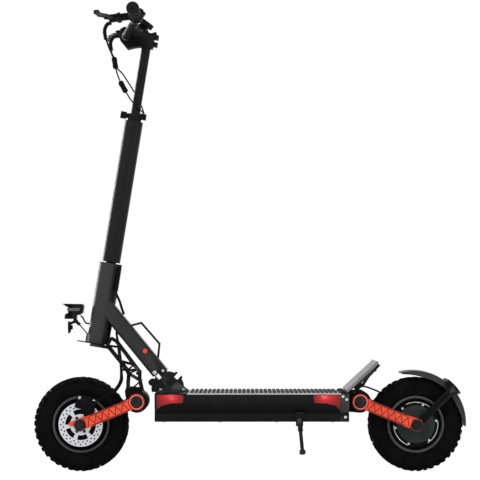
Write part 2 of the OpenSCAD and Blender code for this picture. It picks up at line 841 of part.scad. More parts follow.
module shaft_pair() {
  color(dark) {
    translate([arm_len, 0, 0]) {
      rod_y(shaft_r, -arm_out, arm_out);
      pair() rod_y(shaft_r + 1.5, arm_out - 0.8, arm_out + 3);
    }
    rod_y(axle_r, -axle_out, axle_out);
    pair() rod_y(16, arm_gap + 8.4, arm_out - 2);
    pair() rod_y(12, arm_out - 2.1, arm_out + 5);
    pair() rod_y(9, arm_out + 4.9, arm_out + 9);
  }
}

// Disc caliper on the left side, carried by the left arm
module caliper_body() {
  a = 76;
  color(dark) {
    difference() {
      rotate([0, -a, 0]) translate([disc_r - 18, -arm_gap + 4, -27]) cube([36, 18, 54]);
      rod_y(disc_r + 2, -disc_y - disc_t - 0.8, -disc_y + 0.8);
      rod_y(rim_r - 26, -disc_y, -20);
      rod_y(rim_r - 15, -disc_y + 7.2, -20);
    }
    slab(-arm_gap, -arm_gap + 4.1) polygon([polar(disc_r - 12, a - 24), polar(disc_r + 16, a - 18),
      polar(disc_r + 16, a + 10), polar(disc_r - 12, a + 14), [12, 20], [12, 8], [46, 22], [46, 30]]);
    rotate([0, -a, 0]) for (s = [-16, 16])
      translate([disc_r + 4, 0, s]) rod_y(5, -arm_gap + 1.6, -arm_gap + 4.1);
  }
}

// Outer skin of a tyre's section, from bead to bead, and its hollow
module tyre_ring() {
  w = tyre_w / 2;
  side = [[rim_r - 7.6, 20], [rim_r - 7.6, w - 9.4], [rim_r + 0.5, w - 9.4], [rim_r + 2, w - 5],
    [rim_r + 12, w - 1], [rim_r + 25, w], [tyre_r - 13, w - 1], [tyre_r - 6, w - 5], [tyre_r - 4.5, w - 10]];
  hollow = [[tyre_r - 12, w - 12], [tyre_r - 16, w - 7], [rim_r + 25, w - 6], [rim_r + 10, w - 7],
    [rim_r - 1, 22]];
  half = concat(side, [[tyre_r - 4.5, 0]]);
  rotate([90, 0, 0]) rotate_extrude($fn = 120) difference() {
    polygon(concat(half, [for (i = [len(side) - 1:-1:0]) [side[i].x, -side[i].y]]));
    polygon(concat(hollow, [for (i = [len(hollow) - 1:-1:0]) [hollow[i].x, -hollow[i].y]]));
    translate([rim_r - 12, -20.5]) square([14, 41]);
  }
}

module tyre() {
  lug_w = PI * tyre_r / lug_count;
  color(rubber) {
    tyre_ring();
    intersection() {
      rod_y(tyre_r, -tyre_w, tyre_w);
      union() for (i = [0:lug_count - 1]) rotate([0, 360 * i / lug_count, 0]) {
        translate([-lug_w / 2, 4, 2 - tyre_r - 3]) cube([lug_w, tyre_w / 2 - 8, 8]);
        rotate([0, 180 / lug_count, 0]) translate([-lug_w / 2, 4 - tyre_w / 2, -tyre_r - 1])
          cube([lug_w, tyre_w / 2 - 8, 8]);
      }
    }
  }
}

// Rim and motor in one turned body; the disc seat is on the +y side
module hub() {
  w = tyre_w / 2;
  half = [[axle_r + fit, w - 1], [20, w - 1], [20, w - 3], [52, w - 3], [52, w - 8], [rim_r - 16, w - 8],
    [rim_r - 15, w - 12], [rim_r - 15, 20], [rim_r - 12, 20], [rim_r - 6, w - 5], [rim_r, w - 5],
    [rim_r, w - 9], [rim_r - 8, w - 9]];
  color(dark) {
    rotate([90, 0, 0]) rotate_extrude($fn = 120)
      polygon(concat(half, [for (i = [len(half) - 1:-1:0]) [half[i].x, -half[i].y]]));
    difference() {
      rod_y(26, w - 2, disc_y);
      rod_y(axle_r + fit, 0, 100);
    }
  }
}

module brake_disc() {
  color(steel) rotate([-90, 0, 0]) translate([0, 0, disc_y]) {
    linear_extrude(disc_t) difference() {
      circle(disc_r);
      circle(14);
      for (i = [0:23]) rotate(15 * i) {
        translate([disc_r - 6, 0]) circle(2.2);
        rotate(7.5) translate([disc_r - 12.5, 0]) circle(2.2);
      }
      for (i = [0:5]) rotate(60 * i) intersection() {
        difference() {
          circle(disc_r - 18);
          circle(29);
        }
        polygon([[0, 0], [60, 0], [45, 42]]);
      }
    }
    for (i = [0:5]) rotate(60 * i + 30) translate([21, 0, disc_t]) cylinder(r = 3.6, h = 2);
  }
}

module front_arms() { in_front_arm() arm_pair(27); }
module front_shafts() { in_front_arm() shaft_pair(); }
module front_caliper() { translate([front_x, 0, tyre_r]) caliper_body(); }
module front_tyre() { translate([front_x, 0, tyre_r]) tyre(); }
module front_hub() { translate([front_x, 0, tyre_r]) mirror([0, 1, 0]) hub(); }
module front_disc() { translate([front_x, 0, tyre_r]) mirror([0, 1, 0]) brake_disc(); }
module rear_arms() { in_rear_arm() arm_pair(8); }
module rear_shafts() { in_rear_arm() shaft_pair(); }
module rear_caliper() { translate([rear_x, 0, tyre_r]) mirror([1, 0, 0]) mirror([0, 1, 0]) caliper_body(); }
module rear_tyre() { translate([rear_x, 0, tyre_r]) tyre(); }
module rear_hub() { translate([rear_x, 0, tyre_r]) hub(); }
module rear_disc() { translate([rear_x, 0, tyre_r]) brake_disc(); }

// ---- rear fender on the rear arms

fender_w = tyre_w / 2 + 7;
module fender_arc(r0, r1, y0, y1, from, to) {
  translate([rear_x + fender_shift.x, 0, tyre_r + fender_shift.y]) rotate([90, 0, 0]) rotate(from)
    rotate_extrude(angle = to - from, $fn = 120) translate([r0, y0]) square([r1 - r0, y1 - y0]);
}

module rear_fender() {
  color(black) {
    fender_arc(fender_r - fender_t, fender_r, -fender_w, fender_w, -4, 101);
    for (y = [-fender_w, fender_w - fender_t])
      fender_arc(fender_r - 13, fender_r - fender_t + 0.5, y, y + fender_t, 2, 94);
    fender_arc(fender_r - fender_t, fender_r - 0.5, -18, 18, 95, 106);
  }
}

strut_end = [fender_r * 0.72, fender_r * 0.70];
strut_y = arm_gap - 7;
module fender_struts() {
  color(dark) {
    translate([rear_x, 0, tyre_r]) pair() difference() {
      slab(strut_y, strut_y + 5) {
        strip([10, 8], strut_end - [4, 4], 20);
        circle(14);
      }
      rod_y(axle_r + fit, 0, 100);
      slab(strut_y + 4, strut_y + 6) strip([24, 22], strut_end - [14, 14], 3);
    }
    fender_arc(fender_r + gap, fender_r + 8, -strut_y - 5, strut_y + 5, 33, 52);
    for (y = [-strut_y - 4.6, strut_y + 0.4])
      fender_arc(fender_r - 14, fender_r + 6, y, y + 4.2, 34, 51);
  }
}

module rear_cable() {
  color(rubber) cord([[300, 64, 224], [316, 60, 229], [340, 56, 222], [373, 54, 208],
    [407.8, 51, 193.6]], 2.4);
}

// ---- post and handlebar, all in the steering frame

module post() {
  color(dark) in_steer() difference() {
    union() {
      translate([0, 0, post_bottom]) cylinder(r = post_r, h = clamp_s + 18 - post_bottom);
      translate([0, 0, post_bottom]) cylinder(r = column_bore - fit, h = 20);
    }
    translate([0, 0, post_bottom - 1]) cylinder(r = post_r - 2.2, h = clamp_s);
  }
}

module stem_head() {
  c = clamp_at;
  color(black) in_steer() difference() {
    union() {
      slab(-18, 18) {
        translate(c) circle(clamp_r + 6);
        polygon([c + [-19, -12], c + [6, -34], c + [24, -26], c + [38, -22], [post_r + 6, c.y - 22],
          [post_r + 6, c.y + 12], c + [14, 21], c + [0, 21]]);
      }
      for (s = [-15, 5]) translate([0, -14, c.y + s]) cube([post_r + 17, 28, 12]);
    }
    translate([0, 0, c.y - 60]) cylinder(r = post_r + fit, h = 78 + 0.3);
    translate([c.x, 0, c.y]) rod_y(clamp_r + fit, -40, 40);
    translate([0, -0.8, c.y - 40]) cube([60, 1.6, 80]);
  }
}

module handlebar() {
  half = [[clamp_at.x, 40, clamp_at.y], [grip_at.x - 6, 84, grip_at.y - 8],
    [grip_at.x, perch_y - 52, grip_at.y], [grip_at.x, bar_w / 2 - 4, grip_at.y]];
  color(black) in_steer() {
    translate([clamp_at.x, 0, clamp_at.y]) rod_y(clamp_r, -30, 30);
    pair() {
      rod_run(half, bar_r);
      translate([clamp_at.x, 29, clamp_at.y]) rotate([-90, 0, 0])
        cylinder(r1 = clamp_r - 0.6, r2 = bar_r + 0.6, h = 13);
    }
  }
}

// Bar frame at the grips: -x points at the brake lever's pivot
lever_pitch = 16;
module at_grips() {
  in_steer() translate([grip_at.x, 0, grip_at.y]) rotate([0, -lever_pitch, 0]) children();
}

module grips() {
  color(rubber) at_grips() pair() difference() {
    union() {
      rod_y(grip_r, grip_y, bar_w / 2);
      rod_y(grip_r + 3, grip_y, grip_y + 4);
    }
    rod_y(bar_r + fit, grip_y - 1, bar_w / 2 - 4);
  }
}

lever_at = [-62, perch_y - 2];
module lever_perches() {
  color(black) at_grips() pair() difference() {
    union() {
      rod_y(bar_r + 5, perch_y - 10, perch_y + 8);
      translate([-50, perch_y - 9, -9]) cube([40, 16, 18]);
      for (z = [-10, 5.9]) translate([lever_at.x, lever_at.y, z]) cylinder(r = 10, h = 4.1);
      for (z = [-10, 5.9]) translate([lever_at.x, perch_y - 10, z]) cube([16, 17, 4.1]);
      translate([lever_at.x, lever_at.y, -10]) cylinder(r = 3, h = 20);
      translate([-42, perch_y - 20, -7]) rotate([0, -20, 0]) cylinder(r = 9, h = 22);
      rod([-44, perch_y - 6, 0], [-44, perch_y - 30, -4], 7);
    }
    rod_y(bar_r + fit, perch_y - 50, perch_y + 20);
  }
}

// Brake lever of the right-hand side: a boss in the perch and a cranked blade
module brake_lever() {
  root = [lever_at.x - 2, lever_at.y + 4];
  knee = [-76, perch_y + 28];
  blade = [knee, [-91, perch_y + 62], [-96, perch_y + 116]];
  color(black) difference() {
    union() {
      translate([lever_at.x, lever_at.y, -5.6]) cylinder(r = 9, h = 11.2);
      translate([0, 0, -4.5]) linear_extrude(9) strip(root, knee, 10);
      translate([0, 0, -1]) linear_extrude(9.5) {
        strip_run(blade, 10);
        translate(blade[2]) circle(7.5);
      }
    }
    translate([lever_at.x, lever_at.y, -20]) cylinder(r = 3 + fit, h = 40);
  }
}
module brake_lever_left() { at_grips() mirror([0, 1, 0]) brake_lever(); }
module brake_lever_right() { at_grips() brake_lever(); }

// Round display on the right, facing up and back, and the thumb throttle beside it
pod_y = perch_y - 36;
pod_tilt = 42;
pod_low = bar_r + 4.6;
module at_display() {
  at_grips() translate([0, pod_y, 0]) rotate([0, pod_tilt, 0]) children();
}

module display_pod() {
  color(black) difference() {
    union() {
      at_display() translate([0, 0, pod_low]) cylinder(r = 25, h = 13);
      at_display() translate([-9, -8, bar_r]) cube([18, 16, 8]);
      at_grips() rod_y(bar_r + 5, pod_y - 9, pod_y + 9);
    }
    at_grips() rod_y(bar_r + fit, pod_y - 60, pod_y + 60);
    at_display() translate([0, 0, pod_low + 12]) cylinder(r = 21, h = 5);
    at_display() translate([-10, 0, pod_low + 2]) cylinder(r = 5 + gap, h = 20);
  }
}

module power_button() {
  color(red) at_display() translate([-10, 0, pod_low + 4.5]) cylinder(r = 5, h = 9);
}

module throttle_lever() {
  y0 = pod_y + 10;
  color(black) at_grips() difference() {
    union() {
      rod_y(bar_r + 4, y0, y0 + 9);
      slab(y0, y0 + 9) strip([10, -6], [30, -16], 7);
      slab(y0, y0 + 20) strip([28, -15], [40, -13], 7);
    }
    rod_y(bar_r + fit, y0 - 1, y0 + 30);
  }
}

module at_switch() {
  at_grips() translate([0, -pod_y, 0]) rotate([0, pod_tilt, 0]) children();
}

module switch_pod() {
  color(black) difference() {
    union() {
      at_switch() translate([-15, -14, bar_r - 2]) cube([30, 28, 15]);
      at_grips() rod_y(bar_r + 5, -pod_y - 11, -pod_y + 11);
    }
    at_grips() rod_y(bar_r + fit, -pod_y - 40, -pod_y + 40);
    at_switch() translate([0, 0, bar_r + 5]) cylinder(r = 6 + gap, h = 20);
  }
}

module horn_button() {
  color(orange) at_switch() translate([0, 0, bar_r + 7.5]) cylinder(r = 6, h = 9);
}

// Leads from both levers through two inline plugs to the collar
plug_a = [[-371, -42, 1132], [-366, -40, 1100]];
plug_b = [[-355, -34, 1067], [-338, -30, 1036]];
module bar_cables() {
  color(rubber) {
    for (side = [-1, 1]) cord([[-372, side * 131, 1213], [-384, side * 130, 1208], [-391, side * 124, 1192],
      [-388, side * 114, 1170]], 5.5, 10);
    cord([[-388, -115, 1172], [-380, -80, 1148], [-371, -41, 1130]], 2.5, side = [1, 0, 0]);
    cord([[-388, 115, 1172], [-383, 60, 1150], [-376, 0, 1138], [-370, -41, 1128]], 2.5, side = [1, 0, 0]);
    rod(plug_a[0], plug_a[1], 7.5);
    cord([plug_a[1], [-361, -38, 1083], plug_b[0]], 2);
    rod(plug_b[0], plug_b[1], 7.5);
    cord([plug_b[1], [-325, -27, 1016], [-309, -20, 998], [-298, -10, 988], [-292, -7, 982]], 2);
    cord([[-366, -40, 1104], [-350, -18, 1090], [-336, 6, 1070], [-322, 20, 1048], [-306, 21, 1020],
      [-296, 11, 996], [-291.5, 7, 982]], 2);
  }
}

deck_shell();
deck_mat();
belly_plate();
deck_screws();
side_lights();
front_block();
rear_block();
kickplate();
battery_pack();
controller();
charge_socket();
hinge_plates();
fold_pin();
kickstand_bracket();
kickstand_leg();
neck_frame();
headset_bearings();
cable_guide();
head_cables();
lock_bar();
lock_handle();
safety_button();
fork();
column();
collar();
light_bracket();
horn();
light_cable();
front_cables();
headlight();
headlight_lens();
height_knob();
front_arms();
front_shafts();
front_caliper();
front_tyre();
front_hub();
front_disc();
post();
stem_head();
handlebar();
grips();
lever_perches();
display_pod();
switch_pod();
bar_cables();
brake_lever_left();
brake_lever_right();
throttle_lever();
power_button();
horn_button();
rear_arms();
rear_shafts();
rear_caliper();
rear_fender();
fender_struts();
rear_cable();
rear_tyre();
rear_hub();
rear_disc();
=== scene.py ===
import json
import math
import bpy
import bmesh
from mathutils import Matrix, Vector


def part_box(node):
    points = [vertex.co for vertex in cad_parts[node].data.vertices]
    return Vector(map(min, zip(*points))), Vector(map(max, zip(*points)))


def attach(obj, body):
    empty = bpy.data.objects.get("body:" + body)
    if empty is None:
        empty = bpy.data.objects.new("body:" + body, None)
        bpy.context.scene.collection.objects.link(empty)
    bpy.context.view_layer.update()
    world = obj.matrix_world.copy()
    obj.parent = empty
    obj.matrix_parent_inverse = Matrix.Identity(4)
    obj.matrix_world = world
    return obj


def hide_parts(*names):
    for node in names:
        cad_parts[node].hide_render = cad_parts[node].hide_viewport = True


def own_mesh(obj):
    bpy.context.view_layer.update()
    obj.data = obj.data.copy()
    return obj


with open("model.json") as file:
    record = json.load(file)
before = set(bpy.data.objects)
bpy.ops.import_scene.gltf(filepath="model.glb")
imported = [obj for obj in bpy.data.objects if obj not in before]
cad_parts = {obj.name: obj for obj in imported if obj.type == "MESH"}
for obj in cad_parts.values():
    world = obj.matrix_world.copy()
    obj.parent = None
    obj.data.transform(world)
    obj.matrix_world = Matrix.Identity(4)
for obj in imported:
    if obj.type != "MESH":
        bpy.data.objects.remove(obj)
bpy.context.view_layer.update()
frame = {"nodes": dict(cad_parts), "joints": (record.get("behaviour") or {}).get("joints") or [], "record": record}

cadNodes = frame["nodes"]
joints = {j["name"]: j for j in frame["joints"]}
bodyOf = {n: b for b, ns in frame["record"]["behaviour"]["bodies"].items() for n in ns}
print("frame: %d nodes" % len(cadNodes))

# camera, lights and floor

view = {"place": (-0.027, -5.5, 0.46), "middle": 0.634, "lens": 150, "sensor": 36}
studio = {"world": 0.62, "floorHalf": 9, "floorColour": (0.92, 0.92, 0.92, 1), "floorGlow": 0.9,
          "floorLift": 1.05}
# each lamp's place, target, width, power and, where it isn't square, its height
lamps = {
    "keyLamp": ((-2.2, -3.0, 3.4), (0, 0, 0.5), 2.2, 85),
    "fillLamp": ((2.8, -2.4, 1.8), (0, 0, 0.5), 2.0, 26),
    "backLamp": ((0.8, 3.2, 2.6), (0, 0, 0.5), 2.4, 26),
    "stripLamp": ((-2.8, 2.2, 1.1), (-0.3, 0, 0.7), 0.45, 75, 2.4),
}


def addObject(name, data):
    thing = bpy.data.objects.new(name, data)
    bpy.context.scene.collection.objects.link(thing)
    return thing


lens = bpy.data.cameras.new("viewCamera")
lens.lens, lens.sensor_width = view["lens"], view["sensor"]
lens.clip_start, lens.clip_end = 0.1, 60
# the lens looks level from below the middle of the frame
lens.shift_y = (view["middle"] - view["place"][2]) / -view["place"][1] * view["lens"] / view["sensor"]
eye = addObject("viewCamera", lens)
eye.location, eye.rotation_euler = view["place"], (math.radians(90), 0, 0)
bpy.context.scene.camera = eye
bpy.context.scene.view_settings.view_transform = "Standard"


def areaLamp(name, place, target, size, power, sizeY=None):
    lamp = bpy.data.lights.new(name, "AREA")
    lamp.energy, lamp.size = power, size
    if sizeY:
        lamp.shape, lamp.size_y = "RECTANGLE", sizeY
    holder = addObject(name, lamp)
    holder.location = place
    holder.rotation_euler = (Vector(target) - Vector(place)).to_track_quat("-Z", "Y").to_euler()


for lampName, settings in lamps.items():
    areaLamp(lampName, *settings)


def mathStep(tree, operation, *values):
    # one Math node; each value is a number or a socket
    node = tree.nodes.new("ShaderNodeMath")
    node.operation = operation
    for socket, value in zip(node.inputs, values):
        if isinstance(value, (int, float)):
            socket.default_value = value
        else:
            tree.links.new(value, socket)
    return node.outputs[0]


def plainWhite(tree, strength):
    glow = tree.nodes.new("ShaderNodeBackground")
    glow.inputs["Color"].default_value = (1, 1, 1, 1)
    glow.inputs["Strength"].default_value = strength
    return glow.outputs[0]


world = bpy.data.worlds.new("studioWorld")
bpy.context.scene.world = world
world.use_nodes = True
sky = world.node_tree
sky.nodes.clear()
skyOut = sky.nodes.new("ShaderNodeOutputWorld")
rays = sky.nodes.new("ShaderNodeLightPath")
seen = mathStep(sky, "MAXIMUM", rays.outputs["Is Camera Ray"], rays.outputs["Is Transmission Ray"])
shown = mathStep(sky, "MAXIMUM", seen, rays.outputs["Is Glossy Ray"])
skyMix = sky.nodes.new("ShaderNodeMixShader")
sky.links.new(shown, skyMix.inputs[0])
sky.links.new(plainWhite(sky, studio["world"]), skyMix.inputs[1])
sky.links.new(plainWhite(sky, 1.0), skyMix.inputs[2])
sky.links.new(skyMix.outputs[0], skyOut.inputs[0])


def makeFloor():
    half = studio["floorHalf"]
    corners = [(-half, -half, 0), (half, -half, 0), (half, half, 0), (-half, half, 0)]
    mesh = bpy.data.meshes.new("studioFloor")
    mesh.from_pydata(corners, [], [(0, 1, 2, 3)])
    floor = addObject("studioFloor", mesh)
    paint = bpy.data.materials.new("floorWhite")
    paint.use_nodes = True
    tree = paint.node_tree
    tree.nodes.clear()
    out = tree.nodes.new("ShaderNodeOutputMaterial")
    matt = tree.nodes.new("ShaderNodeBsdfDiffuse")
    matt.inputs["Color"].default_value = studio["floorColour"]
    glow = tree.nodes.new("ShaderNodeEmission")
    glow.inputs["Strength"].default_value = studio["floorLift"]
    path = tree.nodes.new("ShaderNodeLightPath")
    mix = tree.nodes.new("ShaderNodeMixShader")
    share = mathStep(tree, "MULTIPLY", path.outputs["Is Camera Ray"], studio["floorGlow"])
    tree.links.new(share, mix.inputs[0])
    tree.links.new(matt.outputs[0], mix.inputs[1])
    tree.links.new(glow.outputs[0], mix.inputs[2])
    tree.links.new(mix.outputs[0], out.inputs[0])
    mesh.materials.append(paint)


makeFloor()
print("stage ready")

# finishes

# dark and light are the two ends of the colour, patch its scale, rough the span of
# roughness, grain the scale of the surface's grain and depth its height in metres;
# edge is how much lighter the sharp edges are painted as a highlight, gloss the specular level, coat the clear
# coat
finishes = {
    "satinBlack": {"dark": (0.0025, 0.0025, 0.0028), "light": (0.0050, 0.0050, 0.0052), "patch": 14,
                   "rough": (0.26, 0.36), "grain": 2600, "depth": 0.00004, "edge": 0.03, "gloss": 0.12},
    "castBlack": {"dark": (0.0028, 0.0028, 0.0030), "light": (0.0060, 0.0060, 0.0063), "patch": 30,
                  "rough": (0.45, 0.62), "grain": 1500, "depth": 0.00012, "edge": 0.04, "gloss": 0.05},
    "deckAnodised": {"dark": (0.0036, 0.0036, 0.0039), "light": (0.0060, 0.0060, 0.0063), "patch": 8,
                     "rough": (0.32, 0.44), "grain": 3200, "depth": 0.00004, "edge": 0.03, "gloss": 0.06},
    "hingeSteel": {"dark": (0.0054, 0.0054, 0.0057), "light": (0.0132, 0.0132, 0.0138), "patch": 45,
                   "rough": (0.40, 0.58), "grain": 1400, "depth": 0.00010, "edge": 0.06, "gloss": 0.08},
    "motorGrey": {"dark": (0.020, 0.023, 0.022), "light": (0.031, 0.034, 0.033), "patch": 26,
                  "rough": (0.42, 0.55), "grain": 1800, "depth": 0.00008, "edge": 0.05, "gloss": 0.1},
    "rimGrey": {"dark": (0.030, 0.031, 0.033), "light": (0.048, 0.049, 0.051), "patch": 20,
                "rough": (0.30, 0.42), "grain": 1800, "depth": 0.00005, "edge": 0.05, "gloss": 0.2},
    # armRed is the arms' own red; the darker reds after it are painted shade for their sides, edge bands and
    # grooves, and the lighter ring red is a painted highlight on the pivot ring
    "armRed": {"dark": (0.72, 0.060, 0.028), "light": (0.86, 0.095, 0.045), "patch": 22,
               "rough": (0.30, 0.42), "grain": 1700, "depth": 0.00006, "coat": 0.08, "gloss": 0.12},
    "armShadeRed": {"dark": (0.20, 0.012, 0.008), "light": (0.32, 0.020, 0.012), "patch": 30,
                "rough": (0.35, 0.5), "grain": 1700, "depth": 0.00006, "coat": 0.2, "gloss": 0.2},
    "armGrooveShade": {"dark": (0.05, 0.005, 0.004), "light": (0.09, 0.009, 0.007), "patch": 30,
                  "rough": (0.5, 0.65), "grain": 1700, "depth": 0.00006, "gloss": 0.2},
    "ringHighlightRed": {"dark": (0.85, 0.16, 0.10), "light": (0.95, 0.24, 0.16), "patch": 30,
                "rough": (0.28, 0.38), "grain": 1700, "depth": 0.00004, "coat": 0.3},
    "zinc": {"dark": (0.45, 0.46, 0.48), "light": (0.66, 0.67, 0.69), "patch": 90,
             "rough": (0.18, 0.34), "grain": 2400, "depth": 0.00004, "metallic": 1.0},
    "blackSteel": {"dark": (0.012, 0.012, 0.013), "light": (0.026, 0.026, 0.028), "patch": 60,
                   "rough": (0.30, 0.48), "grain": 1900, "depth": 0.00005, "metallic": 0.4, "edge": 0.06,
                   "gloss": 0.12},
    "plateGrey": {"dark": (0.10, 0.10, 0.103), "light": (0.17, 0.17, 0.173), "patch": 35,
                  "rough": (0.40, 0.55), "grain": 900, "depth": 0.00018, "metallic": 0.2, "edge": 0.1},
    # light grey of the strips along the foot plate's top corners, a painted reflection
    "highlightStripGrey": {"dark": (0.40, 0.40, 0.405), "light": (0.54, 0.54, 0.545), "patch": 25,
                 "rough": (0.28, 0.42), "grain": 1600, "depth": 0.00005, "metallic": 0.3},
    "blackPlastic": {"dark": (0.0030, 0.0030, 0.0033), "light": (0.0060, 0.0060, 0.0063), "patch": 40,
                     "rough": (0.38, 0.55), "grain": 1300, "depth": 0.00014, "edge": 0.02, "gloss": 0.06},
    "fenderPlastic": {"dark": (0.012, 0.012, 0.0125), "light": (0.020, 0.020, 0.0205), "patch": 18,
                      "rough": (0.36, 0.50), "grain": 1100, "depth": 0.00016, "edge": 0.03, "gloss": 0.14},
    "cableRubber": {"dark": (0.0030, 0.0030, 0.0030), "light": (0.0060, 0.0060, 0.0060), "patch": 70,
                    "rough": (0.45, 0.6), "grain": 2000, "depth": 0.00008, "gloss": 0.05},
    "gripRubber": {"dark": (0.004, 0.004, 0.004), "light": (0.017, 0.017, 0.017), "patch": 160,
                   "rough": (0.60, 0.80), "grain": 1500, "depth": 0.00020, "gloss": 0.06},
    "tyreRubber": {"dark": (0.0024, 0.0024, 0.0024), "light": (0.0051, 0.0051, 0.0051), "patch": 34,
                   "rough": (0.62, 0.82), "grain": 1100, "depth": 0.00022, "gloss": 0.03},
    "matRubber": {"dark": (0.0048, 0.0048, 0.0048), "light": (0.0108, 0.0108, 0.0108), "patch": 60,
                  "rough": (0.55, 0.75), "grain": 1400, "depth": 0.00022, "gloss": 0.05},
    "matPale": {"dark": (0.30, 0.30, 0.30), "light": (0.42, 0.42, 0.42), "patch": 60,
                "rough": (0.5, 0.65), "grain": 1400, "depth": 0.00015},
    "buttonRed": {"dark": (0.62, 0.010, 0.022), "light": (0.78, 0.020, 0.035), "patch": 50,
                  "rough": (0.22, 0.34), "grain": 1500, "depth": 0.00003, "coat": 0.5},
    "batteryWrap": {"dark": (0.05, 0.16, 0.30), "light": (0.08, 0.22, 0.40), "patch": 20,
                    "rough": (0.35, 0.5), "grain": 900, "depth": 0.0001},
}


def emptyMaterial(name):
    paint = bpy.data.materials.new(name)
    paint.use_nodes = True
    tree = paint.node_tree
    tree.nodes.clear()
    out = tree.nodes.new("ShaderNodeOutputMaterial")
    shader = tree.nodes.new("ShaderNodeBsdfPrincipled")
    tree.links.new(shader.outputs[0], out.inputs[0])
    return paint, tree, shader


def objectNoise(tree, scale, detail=3.0, stretch=(1, 1, 1), roughness=0.55):
    place = tree.nodes.new("ShaderNodeTexCoord")
    turn = tree.nodes.new("ShaderNodeMapping")
    turn.inputs["Scale"].default_value = stretch
    cloud = tree.nodes.new("ShaderNodeTexNoise")
    cloud.inputs["Scale"].default_value = scale
    cloud.inputs["Detail"].default_value = detail
    cloud.inputs["Roughness"].default_value = roughness
    tree.links.new(place.outputs["Object"], turn.inputs["Vector"])
    tree.links.new(turn.outputs[0], cloud.inputs["Vector"])
    return cloud


def spread(tree, value, low, high, fromLow=0.3, fromHigh=0.7):
    span = tree.nodes.new("ShaderNodeMapRange")
    for key, number in (("From Min", fromLow), ("From Max", fromHigh), ("To Min", low), ("To Max", high)):
        span.inputs[key].default_value = number
    tree.links.new(value, span.inputs["Value"])
    return span.outputs[0]


def colourRamp(tree, value, stops):
    ramp = tree.nodes.new("ShaderNodeValToRGB")
    band = ramp.color_ramp
    while len(band.elements) < len(stops):
        band.elements.new(0.5)
    for element, (at, colour) in zip(band.elements, stops):
        element.position, element.color = at, (*colour, 1)
    tree.links.new(value, ramp.inputs[0])
    return ramp.outputs[0]


def addGrain(tree, shader, height, depth):
    bump = tree.nodes.new("ShaderNodeBump")
    bump.inputs["Distance"].default_value = depth
    bump.inputs["Strength"].default_value = 0.8
    tree.links.new(height, bump.inputs["Height"])
    tree.links.new(bump.outputs[0], shader.inputs["Normal"])


def makeFinish(name):
    recipe = finishes[name]
    paint, tree, shader = emptyMaterial(name)
    broad = objectNoise(tree, recipe["patch"], 4.0)
    colour = colourRamp(tree, broad.outputs["Fac"], [(0.32, recipe["dark"]), (0.68, recipe["light"])])
    if recipe.get("edge"):
        # painted highlight: the sharp edges are coloured a little lighter, as if catching the light
        shape = tree.nodes.new("ShaderNodeNewGeometry")
        edgeHighlight = spread(tree, shape.outputs["Pointiness"], 0.0, 1.0, 0.53, 0.62)
        mix = tree.nodes.new("ShaderNodeMix")
        mix.data_type = "RGBA"
        mix.inputs["B"].default_value = tuple(c + recipe["edge"] for c in recipe["light"]) + (1,)
        tree.links.new(edgeHighlight, mix.inputs["Factor"])
        tree.links.new(colour, mix.inputs["A"])
        colour = mix.outputs["Result"]
    tree.links.new(colour, shader.inputs["Base Color"])
    fine = objectNoise(tree, recipe["grain"], 2.0)
    smear = objectNoise(tree, recipe["patch"] * 3.1, 5.0, roughness=0.65)
    tree.links.new(spread(tree, smear.outputs["Fac"], *recipe["rough"]), shader.inputs["Roughness"])
    shader.inputs["Metallic"].default_value = recipe.get("metallic", 0.0)
    shader.inputs["Specular IOR Level"].default_value = recipe.get("gloss", 0.5)
    if recipe.get("coat"):
        shader.inputs["Coat Weight"].default_value = recipe["coat"]
        shader.inputs["Coat Roughness"].default_value = 0.12
    addGrain(tree, shader, fine.outputs["Fac"], recipe["depth"])
    return paint


finish = {name: makeFinish(name) for name in finishes}


def makeDiscSteel():
    # ground in circles about each axle
    paint, tree, shader = emptyMaterial("discSteel")
    rings = tree.nodes.new("ShaderNodeTexNoise")
    rings.inputs["Scale"].default_value = 1.0
    rings.inputs["Detail"].default_value = 3.0
    place = tree.nodes.new("ShaderNodeTexCoord")
    split = tree.nodes.new("ShaderNodeSeparateXYZ")
    tree.links.new(place.outputs["Object"], split.inputs[0])
    rearHalf = mathStep(tree, "GREATER_THAN", split.outputs["X"], 0.0)
    axleX = spread(tree, rearHalf, frontAxle.x, rearAxle.x, 0.0, 1.0)
    flat = tree.nodes.new("ShaderNodeCombineXYZ")
    tree.links.new(mathStep(tree, "SUBTRACT", split.outputs["X"], axleX), flat.inputs["X"])
    tree.links.new(mathStep(tree, "SUBTRACT", split.outputs["Z"], frontAxle.z), flat.inputs["Y"])
    reach = tree.nodes.new("ShaderNodeVectorMath")
    reach.operation = "LENGTH"
    tree.links.new(flat.outputs[0], reach.inputs[0])
    line = tree.nodes.new("ShaderNodeCombineXYZ")
    tree.links.new(mathStep(tree, "MULTIPLY", reach.outputs["Value"], 2600), line.inputs["X"])
    tree.links.new(line.outputs[0], rings.inputs["Vector"])
    colour = colourRamp(tree, rings.outputs["Fac"], [(0.3, (0.52, 0.53, 0.55)), (0.7, (0.74, 0.75, 0.77))])
    tree.links.new(colour, shader.inputs["Base Color"])
    tree.links.new(spread(tree, rings.outputs["Fac"], 0.26, 0.42), shader.inputs["Roughness"])
    shader.inputs["Metallic"].default_value = 0.75
    addGrain(tree, shader, rings.outputs["Fac"], 0.00003)
    return paint


